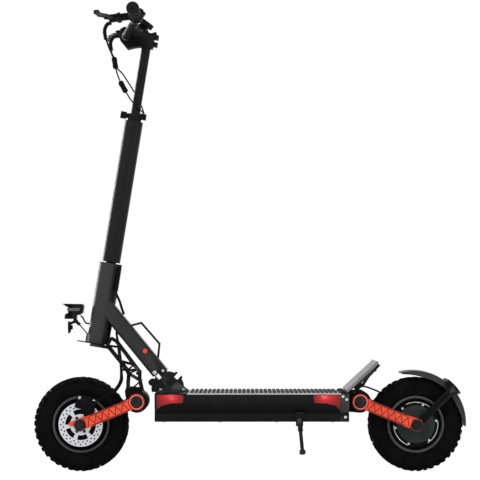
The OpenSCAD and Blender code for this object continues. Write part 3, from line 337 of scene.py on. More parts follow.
def makeLampRed():
    # dark red lens with painted highlight streaks, brightest in the upper middle of each lamp
    paint, tree, shader = emptyMaterial("lampRed")
    highlightStreak = objectNoise(tree, 1.0, 3.0, (34, 1, 520))
    place = tree.nodes.new("ShaderNodeTexCoord")
    split = tree.nodes.new("ShaderNodeSeparateXYZ")
    tree.links.new(place.outputs["Object"], split.inputs[0])
    height = spread(tree, split.outputs["Z"], 0.0, 1.0, 0.172, 0.206)
    low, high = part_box("side_lights")
    middle, half = (low[0] + high[0]) / 2, (high[0] - low[0]) / 2
    distance = mathStep(tree, "ABSOLUTE", mathStep(tree, "SUBTRACT", split.outputs["X"], middle))
    inner = spread(tree, distance, 0.0, 1.0, half - 0.078, half - 0.045)
    outer = spread(tree, distance, 1.0, 0.25, half - 0.035, half - 0.004)
    value = highlightStreak.outputs["Fac"]
    for share in (height, inner, outer):
        value = mathStep(tree, "MULTIPLY", value, share)
    colour = colourRamp(tree, value, [(0.0, (0.09, 0.003, 0.004)), (0.22, (0.34, 0.006, 0.010)),
                                      (0.44, (0.68, 0.020, 0.026)), (0.56, (0.82, 0.11, 0.11)),
                                      (0.66, (0.95, 0.42, 0.40))])
    tree.links.new(colour, shader.inputs["Base Color"])
    shader.inputs["Roughness"].default_value = 0.2
    shader.inputs["Specular IOR Level"].default_value = 0.25
    shader.inputs["Coat Weight"].default_value = 0.15
    addGrain(tree, shader, highlightStreak.outputs["Fac"], 0.0003)
    return paint


def makeLampLens():
    paint, tree, shader = emptyMaterial("lampLens")
    flute = objectNoise(tree, 1.0, 1.0, (1, 380, 60))
    colour = colourRamp(tree, flute.outputs["Fac"], [(0.35, (0.74, 0.75, 0.77)), (0.65, (0.93, 0.94, 0.95))])
    tree.links.new(colour, shader.inputs["Base Color"])
    shader.inputs["Roughness"].default_value = 0.08
    shader.inputs["Coat Weight"].default_value = 0.7
    addGrain(tree, shader, flute.outputs["Fac"], 0.0006)
    return paint


# places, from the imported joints


def jointPlace(name):
    return Vector(joints[name]["pos_m"])


frontAxle = jointPlace("front_wheel_spin")
rearAxle = jointPlace("rear_wheel_spin")
foldPin = jointPlace("fold")
neckLine = Vector(joints["lock"]["axis"]).normalized()
finish["discSteel"] = makeDiscSteel()
finish["lampRed"] = makeLampRed()
finish["lampLens"] = makeLampLens()
print("finishes: %d" % len(finish))

# making pieces


def placePiece(name, mesh, body, paints, stands=(), smooth=30):
    for paint in paints:
        mesh.materials.append(finish[paint])
    if smooth:
        mesh.shade_smooth()
        mesh.set_sharp_from_angle(angle=math.radians(smooth))
    piece = addObject(name, mesh)
    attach(piece, body)
    if stands:
        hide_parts(*stands)
    return piece


def meshFrom(name, verts, faces):
    mesh = bpy.data.meshes.new(name)
    mesh.from_pydata([tuple(v) for v in verts], [], faces)
    mesh.update()
    return mesh


def meshOf(name, shape):
    mesh = bpy.data.meshes.new(name)
    shape.to_mesh(mesh)
    shape.free()
    return mesh


def closedSolid(name, verts, faces, merge=False):
    # a closed mesh with its faces turned outwards
    shape = bmesh.new()
    shape.from_mesh(meshFrom(name, verts, faces))
    if merge:
        bmesh.ops.remove_doubles(shape, verts=shape.verts, dist=1e-6)
    bmesh.ops.recalc_face_normals(shape, faces=shape.faces)
    return meshOf(name, shape)


def sweptFaces(rings, count, closed=False):
    # faces between neighbouring rings of count points each
    faces = []
    for ring in range(rings if closed else rings - 1):
        a, b = ring * count, (ring + 1) % rings * count
        faces += [(a + i, a + (i + 1) % count, b + (i + 1) % count, b + i) for i in range(count)]
    if not closed:
        faces += [tuple(range(count))[::-1], tuple(range((rings - 1) * count, rings * count))]
    return faces


def takeResult(carrier, name):
    graph = bpy.context.evaluated_depsgraph_get()
    result = bpy.data.meshes.new_from_object(carrier.evaluated_get(graph))
    result.name = name
    bpy.data.objects.remove(carrier)
    return result


def applied(mesh, name, changes):
    carrier = addObject("carrier", mesh)
    for kind, settings in changes:
        modifier = carrier.modifiers.new(kind, kind)
        for key, value in settings.items():
            setattr(modifier, key, value)
    return takeResult(carrier, name)


def cleanCopy(node):
    shape = bmesh.new()
    shape.from_mesh(cadNodes[node].data)
    bmesh.ops.remove_doubles(shape, verts=shape.verts, dist=2e-6)
    mesh = meshOf(node, shape)
    mesh.shade_smooth()
    mesh.set_sharp_from_angle(angle=math.radians(30))
    return mesh


def softened(node, width, paints, segments=2, limit=34, pick=None):
    # the same shape with its hard edges rounded
    mesh = applied(cleanCopy(node), node + "Body", [("BEVEL", {
        "width": width, "segments": segments, "limit_method": "ANGLE", "angle_limit": math.radians(limit),
        "use_clamp_overlap": True, "miter_outer": "MITER_ARC"}),
        ("WEIGHTED_NORMAL", {"mode": "FACE_AREA", "weight": 100, "keep_sharp": True})])
    mesh.materials.clear()
    if pick:
        for face in mesh.polygons:
            face.material_index = pick(face)
    return placePiece(node + "Body", mesh, bodyOf[node], paints, (node,), smooth=0)


def revolved(name, profile, centre, steps=96):
    # profile is a closed loop of (radius, y) about an axis along y
    verts = []
    for step in range(steps):
        angle = 2 * math.pi * step / steps
        for radius, y in profile:
            verts.append((centre.x + radius * math.sin(angle), y, centre.z + radius * math.cos(angle)))
    return closedSolid(name, verts, sweptFaces(steps, len(profile), True), merge=True)


def joined(name, meshes):
    shape = bmesh.new()
    for mesh in meshes:
        shape.from_mesh(mesh)
    return meshOf(name, shape)


def extruded(name, outline, low, high, bevel=0.0, segments=2):
    # outline is a list of (x, z), made solid from low to high along y
    verts = [(x, low, z) for x, z in outline] + [(x, high, z) for x, z in outline]
    mesh = closedSolid(name, verts, sweptFaces(2, len(outline)))
    if bevel:
        mesh = applied(mesh, name, [("BEVEL", {"width": bevel, "segments": segments})])
    return mesh


def roundTube(name, points, radius, sides=12, radii=None):
    # a tube along points, its frame carried smoothly from one ring to the next
    points = [Vector(p) for p in points]
    up, last, verts = Vector((0, 0, 1)), None, []
    for i, p in enumerate(points):
        ahead = (points[min(i + 1, len(points) - 1)] - points[max(i - 1, 0)]).normalized()
        if last is None:
            last = up if abs(ahead.dot(up)) < 0.95 else Vector((1, 0, 0))
        last = (last - ahead * last.dot(ahead)).normalized()
        side = ahead.cross(last).normalized()
        reach = radii[i] if radii else radius
        for k in range(sides):
            angle = 2 * math.pi * k / sides
            verts.append(p + side * math.cos(angle) * reach + last * math.sin(angle) * reach)
    return closedSolid(name, verts, sweptFaces(len(points), sides))


def smoothRoute(route, steps):
    # points along a smooth curve through the route
    route = [Vector(p) for p in route]
    out = []
    for i in range(len(route) - 1):
        a, b = route[max(i - 1, 0)], route[i]
        c, d = route[i + 1], route[min(i + 2, len(route) - 1)]
        for k in range(steps):
            t = k / steps
            out.append(0.5 * (2 * b + (c - a) * t + (2 * a - 5 * b + 4 * c - d) * t ** 2
                              + (3 * b - a - 3 * c + d) * t ** 3))
    out.append(route[-1])
    return out


# node trees that repeat a shape


def newTree(name, sockets):
    tree = bpy.data.node_groups.new(name, "GeometryNodeTree")
    tree.interface.new_socket("Geometry", in_out="INPUT", socket_type="NodeSocketGeometry")
    for label, kind, value in sockets:
        socket = tree.interface.new_socket(label, in_out="INPUT", socket_type=kind)
        if kind != "NodeSocketMaterial":
            socket.default_value = value
    tree.interface.new_socket("Geometry", in_out="OUTPUT", socket_type="NodeSocketGeometry")
    return tree, tree.nodes.new("NodeGroupInput"), tree.nodes.new("NodeGroupOutput")


def endTree(tree, start, end, instances):
    solid = tree.nodes.new("GeometryNodeRealizeInstances")
    paint = tree.nodes.new("GeometryNodeSetMaterial")
    tree.links.new(instances, solid.inputs[0])
    tree.links.new(solid.outputs[0], paint.inputs["Geometry"])
    tree.links.new(start.outputs["Finish"], paint.inputs["Material"])
    tree.links.new(paint.outputs[0], end.inputs[0])


def makeRingTree():
    # copies of the given shape turned about the y axis
    tree, start, end = newTree("ringOfCopies", [
        ("Count", "NodeSocketInt", 12), ("Start Angle", "NodeSocketFloat", 0.0),
        ("Finish", "NodeSocketMaterial", None)])
    line = tree.nodes.new("GeometryNodeMeshLine")
    line.inputs["Offset"].default_value = (0, 0, 0)
    tree.links.new(start.outputs["Count"], line.inputs["Count"])
    index = tree.nodes.new("GeometryNodeInputIndex")
    share = mathStep(tree, "DIVIDE", index.outputs[0], start.outputs["Count"])
    about = tree.nodes.new("ShaderNodeCombineXYZ")
    tree.links.new(mathStep(tree, "MULTIPLY_ADD", share, 2 * math.pi, start.outputs["Start Angle"]),
                   about.inputs["Y"])
    copies = tree.nodes.new("GeometryNodeInstanceOnPoints")
    tree.links.new(line.outputs[0], copies.inputs["Points"])
    tree.links.new(start.outputs["Geometry"], copies.inputs["Instance"])
    tree.links.new(about.outputs[0], copies.inputs["Rotation"])
    endTree(tree, start, end, copies.outputs[0])
    return tree


def makeRowTree():
    # copies of the given shape in a straight row
    tree, start, end = newTree("rowOfCopies", [
        ("Count", "NodeSocketInt", 4), ("Step", "NodeSocketVector", (0.01, 0, 0)),
        ("Finish", "NodeSocketMaterial", None)])
    line = tree.nodes.new("GeometryNodeMeshLine")
    tree.links.new(start.outputs["Count"], line.inputs["Count"])
    tree.links.new(start.outputs["Step"], line.inputs["Offset"])
    copies = tree.nodes.new("GeometryNodeInstanceOnPoints")
    tree.links.new(line.outputs[0], copies.inputs["Points"])
    tree.links.new(start.outputs["Geometry"], copies.inputs["Instance"])
    endTree(tree, start, end, copies.outputs[0])
    return tree


ringTree, rowTree = makeRingTree(), makeRowTree()


def repeated(name, mesh, tree, paint, **values):
    carrier = addObject("carrier", mesh)
    modifier = carrier.modifiers.new("repeat", "NODES")
    modifier.node_group = tree
    wanted = {key.replace("_", " "): value for key, value in values.items()}
    wanted["Finish"] = finish[paint]
    for item in tree.interface.items_tree:
        if item.in_out == "INPUT" and item.name in wanted:
            modifier[item.identifier] = wanted[item.name]
    result = takeResult(carrier, name)
    result.materials.clear()
    return result


def ringMesh(name, mesh, paint, count, centre, startAngle=0.0):
    result = repeated(name, mesh, ringTree, paint, Count=count, Start_Angle=startAngle)
    result.transform(Matrix.Translation((centre.x, 0, centre.z)))
    return result


def boltHead(radius, height):
    # cap screw lying along -y, its seat on y = 0, with a hexagon socket
    shape = bmesh.new()
    sides, rings = 24, []
    for r, y in ((0.86, 0.0), (1.0, 0.12), (1.0, 0.8), (0.86, 1.0), (0.52, 1.0), (0.48, 0.55)):
        ring = []
        for k in range(sides):
            angle = 2 * math.pi * k / sides
            reach = radius * r
            if r < 0.6:
                fold = (math.degrees(angle) % 60) - 30
                reach *= math.cos(math.radians(30)) / math.cos(math.radians(fold))
            ring.append(shape.verts.new((reach * math.cos(angle), -y * height, reach * math.sin(angle))))
        rings.append(ring)
    for a, b in zip(rings, rings[1:]):
        for k in range(sides):
            n = (k + 1) % sides
            shape.faces.new((a[k], a[n], b[n], b[k]))
    shape.faces.new(rings[0][::-1])
    shape.faces.new(rings[-1])
    bmesh.ops.recalc_face_normals(shape, faces=shape.faces)
    return meshOf("bolt", shape)


def turned(mesh, matrix):
    copy = mesh.copy()
    copy.transform(matrix)
    if matrix.determinant() < 0:
        copy.flip_normals()
    return copy


def bothSides(mesh):
    return [mesh, turned(mesh, Matrix.Scale(-1, 4, (0, 1, 0)))]


# wheels

# the zinc arcs on each motor cover stand only where its ring shows a reflection: a painted reflection
wheelSizes = {"lugs": 21, "middleLugs": 26, "lugHalf": 0.0058, "middleHalf": 0.0066, "lugSkew": 0.06,
              "middleSkew": 0.35, "topFrom": 0.1275, "half": 0.039, "coverBolts": 6,
              "coverBoltCircle": 0.0565, "paintedReflectionArcs": (183, 303, 50), "arcSpan": 66, "arcRadius": 0.0604,
              "arcWidth": 0.0015}


def lugBlock(section, half, skew=0.0, taper=0.86):
    # a tread block: section is a loop of (y, radius), half its half length round the tyre
    verts = []
    for sign in (-1, 1):
        for y, r in section:
            grip = taper if r > wheelSizes["topFrom"] else 1.0
            verts.append((sign * half * grip + skew * y, y, r))
    mesh = closedSolid("lug", verts, sweptFaces(2, len(section)))
    return applied(mesh, "lug", [("BEVEL", {"width": 0.0006, "segments": 1})])


def makeTyre(node, body, axle):
    half = [(0.0704, 0.020), (0.0704, 0.0296), (0.0785, 0.0297), (0.0797, 0.0325), (0.0822, 0.0345),
            (0.0838, 0.0362), (0.0856, 0.0367), (0.0868, 0.0360), (0.0900, 0.0378), (0.0960, 0.0388),
            (0.0966, 0.0394), (0.0978, 0.0394), (0.0984, 0.0389), (0.1040, 0.0388), (0.1110, 0.0380),
            (0.1170, 0.0360), (0.1215, 0.0320), (0.1236, 0.0260), (0.1243, 0.0140)]
    loop = half + [(r, -y) for r, y in half[::-1]]
    casing = revolved(node + "Casing", loop, axle, 128)
    placePiece(node + "Casing", casing, body, ["tyreRubber"], (node,))
    tall = [(0.0150, 0.1215), (0.0150, 0.1287), (0.0320, 0.1284), (0.0352, 0.1262), (0.0376, 0.1220),
            (0.0390, 0.1165), (0.0390, 0.1120), (0.0372, 0.1105), (0.0340, 0.1150)]
    short = [(0.0190, 0.1215), (0.0190, 0.1287), (0.0330, 0.1281), (0.0362, 0.1256), (0.0384, 0.1205),
             (0.0382, 0.1180), (0.0350, 0.1180)]
    middle = [(0.0012, 0.1220), (0.0012, 0.1290), (0.0125, 0.1289), (0.0125, 0.1220)]
    blocks = []
    pitch = 2 * math.pi / wheelSizes["lugs"]
    for section, start in ((tall, 0.0), (short, pitch / 2)):
        block = lugBlock(section, wheelSizes["lugHalf"], wheelSizes["lugSkew"])
        left, right = bothSides(block)
        for part, shift in ((left, 0.0), (right, pitch / 4)):
            blocks.append(ringMesh("tread", part, "tyreRubber", wheelSizes["lugs"], axle, start + shift))
    centre = lugBlock(middle, wheelSizes["middleHalf"], wheelSizes["middleSkew"])
    for part, shift in zip(bothSides(centre), (0.0, math.pi / wheelSizes["middleLugs"])):
        blocks.append(ringMesh("tread", part, "tyreRubber", wheelSizes["middleLugs"], axle, shift))
    placePiece(node + "Tread", joined(node + "Tread", blocks), body, ["tyreRubber"])


def makeHub(node, body, axle, coverSide):
    # rim and motor housing; coverSide is the y sign of the side without the disc
    s = -coverSide
    w = wheelSizes["half"]
    profile = [(0.00605, -w + 0.001), (0.0195, -w + 0.001), (0.0203, -w + 0.0018), (0.0203, -w + 0.003),
               (0.0500, -w + 0.0034), (0.0516, -w + 0.0042), (0.0520, -w + 0.006), (0.0520, -w + 0.0085),
               (0.0612, -w + 0.0085), (0.0626, -w + 0.010), (0.0630, -w + 0.0125), (0.0630, -0.020),
               (0.0660, -0.020), (0.0700, -w + 0.0105), (0.0714, -w + 0.0062), (0.0726, -w + 0.0052),
               (0.0764, -w + 0.0052), (0.0778, -w + 0.0062), (0.0780, -w + 0.0085), (0.0775, -w + 0.0092),
               (0.0703, -w + 0.0092)]
    back = [(0.0703, w - 0.0092), (0.0775, w - 0.0092), (0.0780, w - 0.0085), (0.0778, w - 0.0062),
            (0.0764, w - 0.0052), (0.0726, w - 0.0052), (0.0714, w - 0.0062), (0.0700, w - 0.0105),
            (0.0660, 0.020), (0.0630, 0.020), (0.0630, w - 0.0125), (0.0626, w - 0.010),
            (0.0612, w - 0.0085), (0.0420, w - 0.0080), (0.0400, w - 0.003), (0.0270, w - 0.003),
            (0.0262, 0.0462), (0.0254, 0.0470), (0.00605, 0.0470)]
    loop = [(r, y * s) for r, y in profile + back]
    mesh = revolved(node + "Body", loop, axle, 128)
    mesh.materials.clear()
    for face in mesh.polygons:
        dx, dz = face.center.x - axle.x, face.center.z - axle.z
        reach = math.hypot(dx, dz)
        outward = face.center.y * coverSide
        face.material_index = 1 if reach > 0.0705 else (2 if reach < 0.0519 and outward > 0.03 else 0)
    placePiece(node + "Body", mesh, body, ["castBlack", "rimGrey", "motorGrey"], (node,), smooth=28)
    # painted reflection: bright zinc arcs round the motor's cover, only where its ring catches the light, and the
    # cover's bolts
    y0 = coverSide * (w - 0.0086)
    reflectionArcs = []
    for start in wheelSizes["paintedReflectionArcs"]:
        path = []
        for step in range(25):
            angle = math.radians(start + wheelSizes["arcSpan"] * step / 24)
            along, up = wheelSizes["arcRadius"] * math.cos(angle), wheelSizes["arcRadius"] * math.sin(angle)
            path.append((axle.x + along, y0 + coverSide * 0.0005, axle.z + up))
        reflectionArcs.append(roundTube("arc", path, wheelSizes["arcWidth"], 10))
    placePiece(node + "CoverReflectionArcs", joined(node + "CoverReflectionArcs", reflectionArcs), body, ["zinc"])
    head = boltHead(0.0036, 0.0032)
    head = turned(head, Matrix.Translation((0, 0, wheelSizes["coverBoltCircle"])))
    if coverSide > 0:
        head = turned(head, Matrix.Scale(-1, 4, (0, 1, 0)))
    head = turned(head, Matrix.Translation((0, y0, 0)))
    bolts = ringMesh("bolts", head, "zinc", wheelSizes["coverBolts"], axle, 0.35)
    placePiece(node + "CoverBolts", bolts, body, ["zinc"])


discSizes = {"boltRadius": 0.0042, "boltHeight": 0.0028, "boltCircle": 0.021, "face": 0.0489}


def makeDisc(node, body, axle, side):
    softened(node, 0.00025, ["discSteel"], 1)
    seat = Matrix.Translation((0, -discSizes["face"], discSizes["boltCircle"]))
    head = turned(boltHead(discSizes["boltRadius"], discSizes["boltHeight"]), seat)
    if side > 0:
        head = turned(head, Matrix.Scale(-1, 4, (0, 1, 0)))
    bolts = ringMesh("discBolts", head, "blackSteel", 6, axle, math.radians(30))
    placePiece(node + "Bolts", bolts, body, ["blackSteel"])


makeTyre("front_tyre", "front_wheel", frontAxle)
makeTyre("rear_tyre", "rear_wheel", rearAxle)
makeHub("front_hub", "front_wheel", frontAxle, 1)
makeHub("rear_hub", "rear_wheel", rearAxle, -1)
makeDisc("front_disc", "front_wheel", frontAxle, -1)
makeDisc("rear_disc", "rear_wheel", rearAxle, 1)
print("wheels done")

# swing arms

armSizes = {"gap": 0.062, "outer": 0.078, "half": 0.0155, "capRadius": 0.0200}


def armPaint(axle, pivot):
    along = Vector((pivot.x - axle.x, 0, pivot.z - axle.z))
    reach = along.length
    along.normalize()
    across = Vector((-along.z, 0, along.x))

    # the outer face keeps the arm's red; its sides get a darker red as painted shade, the grooves a darker red
    # still as painted shade, and the pivot ring a lighter red as a painted highlight
    def pick(face):
        offset = face.center - Vector((axle.x, 0, axle.z))
        off, run = offset.dot(across), offset.dot(along)
        y = abs(face.center.y)
        fromPivot = math.hypot(off, run - reach)
        faceOut = abs(face.normal.y) > 0.9
        if fromPivot < armSizes["capRadius"] and y > armSizes["outer"] + 0.0002:
            return 3
        if faceOut and y > armSizes["outer"] - 0.0003:
            return 0
        if faceOut and y > armSizes["outer"] - 0.002:
            return 2
        if y > armSizes["outer"] - 0.0016 and abs(off) < armSizes["half"] - 0.0012 and fromPivot > 0.022:
            return 2
        if y < armSizes["gap"] + 0.009 and run < 0.03:
            return 0
        return 1
    return pick


for node, axle, pivot in (("front_arms", frontAxle, jointPlace("front_suspension")),
                          ("rear_arms", rearAxle, jointPlace("rear_suspension"))):
    softened(node, 0.0005, ["armRed", "armShadeRed", "armGrooveShade", "ringHighlightRed"], 2, 34, armPaint(axle, pivot))
for node in ("front_shafts", "rear_shafts"):
    softened(node, 0.0008, ["blackSteel"], 2)

trimSizes = {"offset": 0.0139, "half": 0.0013, "proud": 0.0004, "start": 0.034, "end": 0.026,
             "ringIn": 0.0194, "ringOut": 0.0226}


def makeArmShadeTrim(name, body, axle, pivot):
    # painted shade: dark bands along the outer face's long edges, and a dark ring about the pivot's ring, whose
    # lighter red is a painted highlight
    along = Vector((pivot.x - axle.x, 0, pivot.z - axle.z))
    reach = along.length
    along.normalize()
    across = Vector((-along.z, 0, along.x))
    face = armSizes["outer"]
    bands = []
    for share in (-1, 1):
        corners = []
        for run, edge in ((trimSizes["start"], -1), (reach - trimSizes["end"], -1),
                          (reach - trimSizes["end"], 1), (trimSizes["start"], 1)):
            place = axle + along * run + across * (share * trimSizes["offset"] + edge * trimSizes["half"])
            corners.append((place.x, place.z))
        bands.append(extruded("band", corners, -face - trimSizes["proud"], -face + 0.0006))
    inner, outer = trimSizes["ringIn"], trimSizes["ringOut"]
    low, high = 0.0006 - face, -face - trimSizes["proud"]
    ring = [(inner, low), (outer, low), (outer, high), (inner, high)]
    left = joined(name, bands + [revolved("pivotShadeRing", ring, pivot, 64)])
    placePiece(name, joined(name, bothSides(left)), body, ["armShadeRed"])


makeArmShadeTrim("frontArmShadeTrim", "front_arm", frontAxle, jointPlace("front_suspension"))
makeArmShadeTrim("rearArmShadeTrim", "rear_arm", rearAxle, jointPlace("rear_suspension"))

caliperSizes = {"angle": 76, "face": 0.058, "reach": 0.060, "spread": 0.0195, "boltReach": 0.0715}


def makeCaliper(node, body, axle, turn, side):
    # turn is 1 where the caliper leans to the rear, side the y sign that it sits on
    softened(node, 0.0010, ["castBlack"], 2)
    lean = math.radians(caliperSizes["angle"])
    outward = Vector((turn * math.cos(lean), 0, math.sin(lean)))
    along = Vector((math.sin(lean), 0, -turn * math.cos(lean)))
    seat = axle + Vector((0, side * caliperSizes["face"], 0))
    outwards = Matrix.Scale(-1, 4, (0, 1, 0)) if side > 0 else Matrix.Identity(4)
    bolts = []
    for share in (-1, 1):
        place = seat + outward * caliperSizes["boltReach"] + along * share * caliperSizes["spread"]
        bolts.append(turned(turned(boltHead(0.0042, 0.0030), outwards), Matrix.Translation(place)))
    placePiece(node + "Bolts", joined(node + "Bolts", bolts), body, ["zinc"])
    cap = [(0.0, 0.0), (0.0118, 0.0), (0.0124, 0.0006), (0.0124, 0.0022), (0.0116, 0.0030), (0.0090, 0.0030),
           (0.0084, 0.0020), (0.0030, 0.0020), (0.0, 0.0020)]
    centre = seat + outward * caliperSizes["reach"]
    loop = [(r, side * (caliperSizes["face"] + y)) for r, y in cap]
    placePiece(node + "Cap", revolved(node + "Cap", loop, centre, 48), body, ["blackSteel"])


makeCaliper("front_caliper", "front_arm", frontAxle, 1, -1)
makeCaliper("rear_caliper", "rear_arm", rearAxle, -1, 1)
print("arms done")

# deck

# bevel width and finish of the solids that keep their own shape
softNodes = {
    "front_block": (0.0009, "castBlack"), "rear_block": (0.0009, "castBlack"),
    "deck_shell": (0.0007, "deckAnodised"), "kickplate": (0.0009, "plateGrey"),
    "side_lights": (0.0008, "lampRed"), "charge_socket": (0.0003, "blackPlastic"),
    "hinge_plates": (0.0007, "hingeSteel"), "fold_pin": (0.0006, "blackSteel"),
    "kickstand_bracket": (0.0007, "hingeSteel"), "kickstand_leg": (0.0008, "satinBlack"),
    "lock_bar": (0.0006, "zinc"), "lock_handle": (0.0004, "satinBlack"),
    "safety_button": (0.0007, "buttonRed"), "fork": (0.0008, "castBlack"), "column": (0.0008, "satinBlack"),
    "collar": (0.0009, "castBlack"), "light_bracket": (0.0005, "blackSteel"),
    "horn": (0.0005, "blackPlastic"), "headlight": (0.0012, "blackPlastic"),
    "headlight_lens": (0.0005, "lampLens"), "height_knob": (0.0008, "blackPlastic"),
    "post": (0.0005, "satinBlack"), "stem_head": (0.0014, "castBlack"), "handlebar": (0.0004, "satinBlack"),
    "lever_perches": (0.0008, "castBlack"), "display_pod": (0.0008, "blackPlastic"),
    "switch_pod": (0.0009, "blackPlastic"), "throttle_lever": (0.0010, "blackPlastic"),
    "power_button": (0.0008, "rimGrey"), "horn_button": (0.0008, "castBlack"),
    "fender_struts": (0.0008, "castBlack"), "cable_guide": (0.0006, "cableRubber"),
    "brake_lever_left": (0.0012, "castBlack"), "brake_lever_right": (0.0012, "castBlack"),
}
for node, (width, paint) in softNodes.items():
    softened(node, width, [paint])
# solids that are shown as they are
plainNodes = {"neck_frame": "satinBlack", "belly_plate": "deckAnodised", "battery_pack": "batteryWrap",
              "controller": "motorGrey", "headset_bearings": "zinc", "deck_screws": "zinc"}
for node, paint in plainNodes.items():
    cadNodes[node].data.materials.clear()
    cadNodes[node].data.materials.append(finish[paint])

fenderSizes = {"radius": 0.143, "shift": (-0.006, 0.005), "from": -4, "to": 104.5, "half": 0.046,
               "wall": 0.0028, "lip": 0.017, "taper": 0.24, "steps": 60}


def makeFender():
    # a bent sheet over the tyre, its side lips drawn up to points at both ends
    size = fenderSizes
    centre = rearAxle + Vector((size["shift"][0], 0, size["shift"][1]))
    half, wall = size["half"], size["wall"]
    verts = []
    for step in range(size["steps"] + 1):
        share = step / size["steps"]
        angle = math.radians(size["from"] + (size["to"] - size["from"]) * share)
        fromEnd = min(share, 1 - share) / size["taper"]
        lip = wall + 0.002 + (size["lip"] - wall - 0.002) * min(1, fromEnd) ** 0.6
        outer = [(-half, lip), (-half, 0.0045), (-half + 0.0012, 0.0018), (-half + 0.004, 0.0006),
                 (-half * 0.5, 0.0001), (0.0, 0.0)]
        inner = [(0.0, wall), (-half * 0.5, wall), (-half + 0.005, wall + 0.0006),
                 (-half + wall + 0.0004, 0.0050), (-half + wall, lip)]
        loop = outer + [(-y, d) for y, d in reversed(outer[:-1])]
        loop += [(-y, d) for y, d in reversed(inner[1:])] + inner
        for y, depth in loop:
            reach = size["radius"] - depth
            verts.append((centre.x + reach * math.cos(angle), y, centre.z + reach * math.sin(angle)))
    shape = bmesh.new()
    shape.from_mesh(closedSolid("fender", verts, sweptFaces(size["steps"] + 1, len(loop))))
    bmesh.ops.triangulate(shape, faces=[f for f in shape.faces if len(f.verts) > 4])
    placePiece("fenderSheet", meshOf("fenderSheet", shape), "rear_arm", ["fenderPlastic"], ("rear_fender",),
               smooth=35)


makeFender()

matSizes = {"pitch": 0.0118, "rib": 0.0090, "slant": 0.0016, "base": 0.0014, "edge": 0.0010}


def makeMat():
    # slanted rubber ribs over a pale grip sheet
    low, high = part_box("deck_mat")
    base = extruded("matSheet", [(low[0], low[2]), (high[0], low[2]), (high[0], low[2] + matSizes["base"]),
                                 (low[0], low[2] + matSizes["base"])], low[1], high[1])
    placePiece("matSheet", base, "deck", ["matPale"], ("deck_mat",), smooth=0)
    count = int((high[0] - low[0] - matSizes["rib"]) / matSizes["pitch"]) + 1
    start = low[0] + (high[0] - low[0] - (count - 1) * matSizes["pitch"] - matSizes["rib"]) / 2
    foot, top, lean = low[2] + matSizes["base"] - 0.0002, high[2], matSizes["slant"]
    outline = [(start, foot), (start + matSizes["rib"] - lean, foot), (start + matSizes["rib"], top),
               (start + 0.0062, top), (start + 0.0056, top - 0.0007), (start + 0.0050, top),
               (start + lean, top)]
    rib = extruded("rib", outline, low[1] + matSizes["edge"], high[1] - matSizes["edge"], 0.0003, 1)
    ribs = repeated("matRibs", rib, rowTree, "matRubber", Count=count, Step=(matSizes["pitch"], 0, 0))
    placePiece("matRibs", ribs, "deck", ["matRubber"], smooth=0)


makeMat()


def makeDeckHighlightStrips():
    # painted reflection: a light grey strip along both sides of the foot plate, standing for the light caught on
    # its top corner
    low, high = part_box("deck_mat")
    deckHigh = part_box("deck_shell")[1]
    top, side, bars = deckHigh[2], deckHigh[1], []
    for s in (-1, 1):
        outline = [(low[0] - 0.004, top - 0.0030), (high[0] + 0.006, top - 0.0030),
                   (high[0] + 0.006, top + 0.0002), (low[0] - 0.004, top + 0.0002)]
        bars.append(extruded("edge", outline, *sorted((s * (side - 0.0012), s * (side + 0.0004))), 0.0003, 1))
    placePiece("deckHighlightStrips", joined("deckHighlightStrips", bars), "deck", ["highlightStripGrey"], smooth=0)


makeDeckHighlightStrips()
print("deck done")

# grips: ribbed rubber with a flange and a closed end
gripSizes = {"radius": 0.0170, "groove": 0.0009, "ribPitch": 0.0042, "flange": 0.0200, "bore": 0.01125}


def makeGrips():
    low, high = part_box("grips")
    centre = Vector(joints["throttle"]["pos_m"])
    start, end = high[1] - 0.128, high[1]
    r, flange, bore = gripSizes["radius"], gripSizes["flange"], gripSizes["bore"]
    profile = [(bore, start), (flange - 0.0008, start), (flange, start + 0.0008), (flange, start + 0.0032),
               (flange - 0.0008, start + 0.0040), (r - 0.0004, start + 0.0044)]
    at = start + 0.008
    while at < end - 0.016:
        profile += [(r, at), (r, at + 0.0022), (r - gripSizes["groove"], at + 0.0027),
                    (r - gripSizes["groove"], at + 0.0037)]
        at += gripSizes["ribPitch"]
    profile += [(r, at), (r, end - 0.004), (r - 0.0012, end - 0.0012), (r - 0.0040, end), (0.0060, end),
                (0.0052, end - 0.0012), (0.0, end - 0.0012), (0.0, end - 0.0039), (bore, end - 0.0039)]
    right = revolved("grip", profile, centre, 56)
    grips = joined("gripPair", bothSides(right))
    placePiece("gripPair", grips, "handlebar", ["gripRubber"], ("grips",), smooth=24)


makeGrips()
print("grips done")

# cables, on the routes of their solids
cableSizes = {"steps": 7, "sides": 14}


def cableRun(route, radius, steps=None):
    return roundTube("cable", smoothRoute([Vector(p) / 1000 for p in route], steps or cableSizes["steps"]),
                     radius / 1000, cableSizes["sides"])


def ribbedRun(route, radius, ridge, count):
    # a bellows or boot: rings stand proud of a thinner sleeve, its ends drawn in
    path = smoothRoute([Vector(p) / 1000 for p in route], count)
    radii = [(radius if (i // 2) % 2 else radius - ridge) / 1000 for i in range(len(path))]
    radii[0] = radii[-1] = (radius - 2 * ridge) / 1000
    return roundTube("boot", path, radius / 1000, 20, radii=radii)


def inlinePlug(a, b, radius):
    a, b = Vector(a) / 1000, Vector(b) / 1000
    shares = [(0.0, 0.45), (0.03, 0.72), (0.08, 0.92), (0.14, 1.0), (0.40, 1.0), (0.43, 0.88), (0.47, 0.88),
              (0.50, 1.0), (0.54, 1.0), (0.57, 0.88), (0.61, 0.88), (0.64, 1.0), (0.86, 1.0), (0.92, 0.92),
              (0.97, 0.72), (1.0, 0.45)]
    return roundTube("plug", [a.lerp(b, t) for t, _ in shares], radius / 1000, 24,
                     radii=[radius / 1000 * share for _, share in shares])


def placeCables(node, meshes):
    return placePiece(node + "Runs", joined(node + "Runs", meshes), bodyOf[node], ["cableRubber"], (node,),
                      smooth=40)


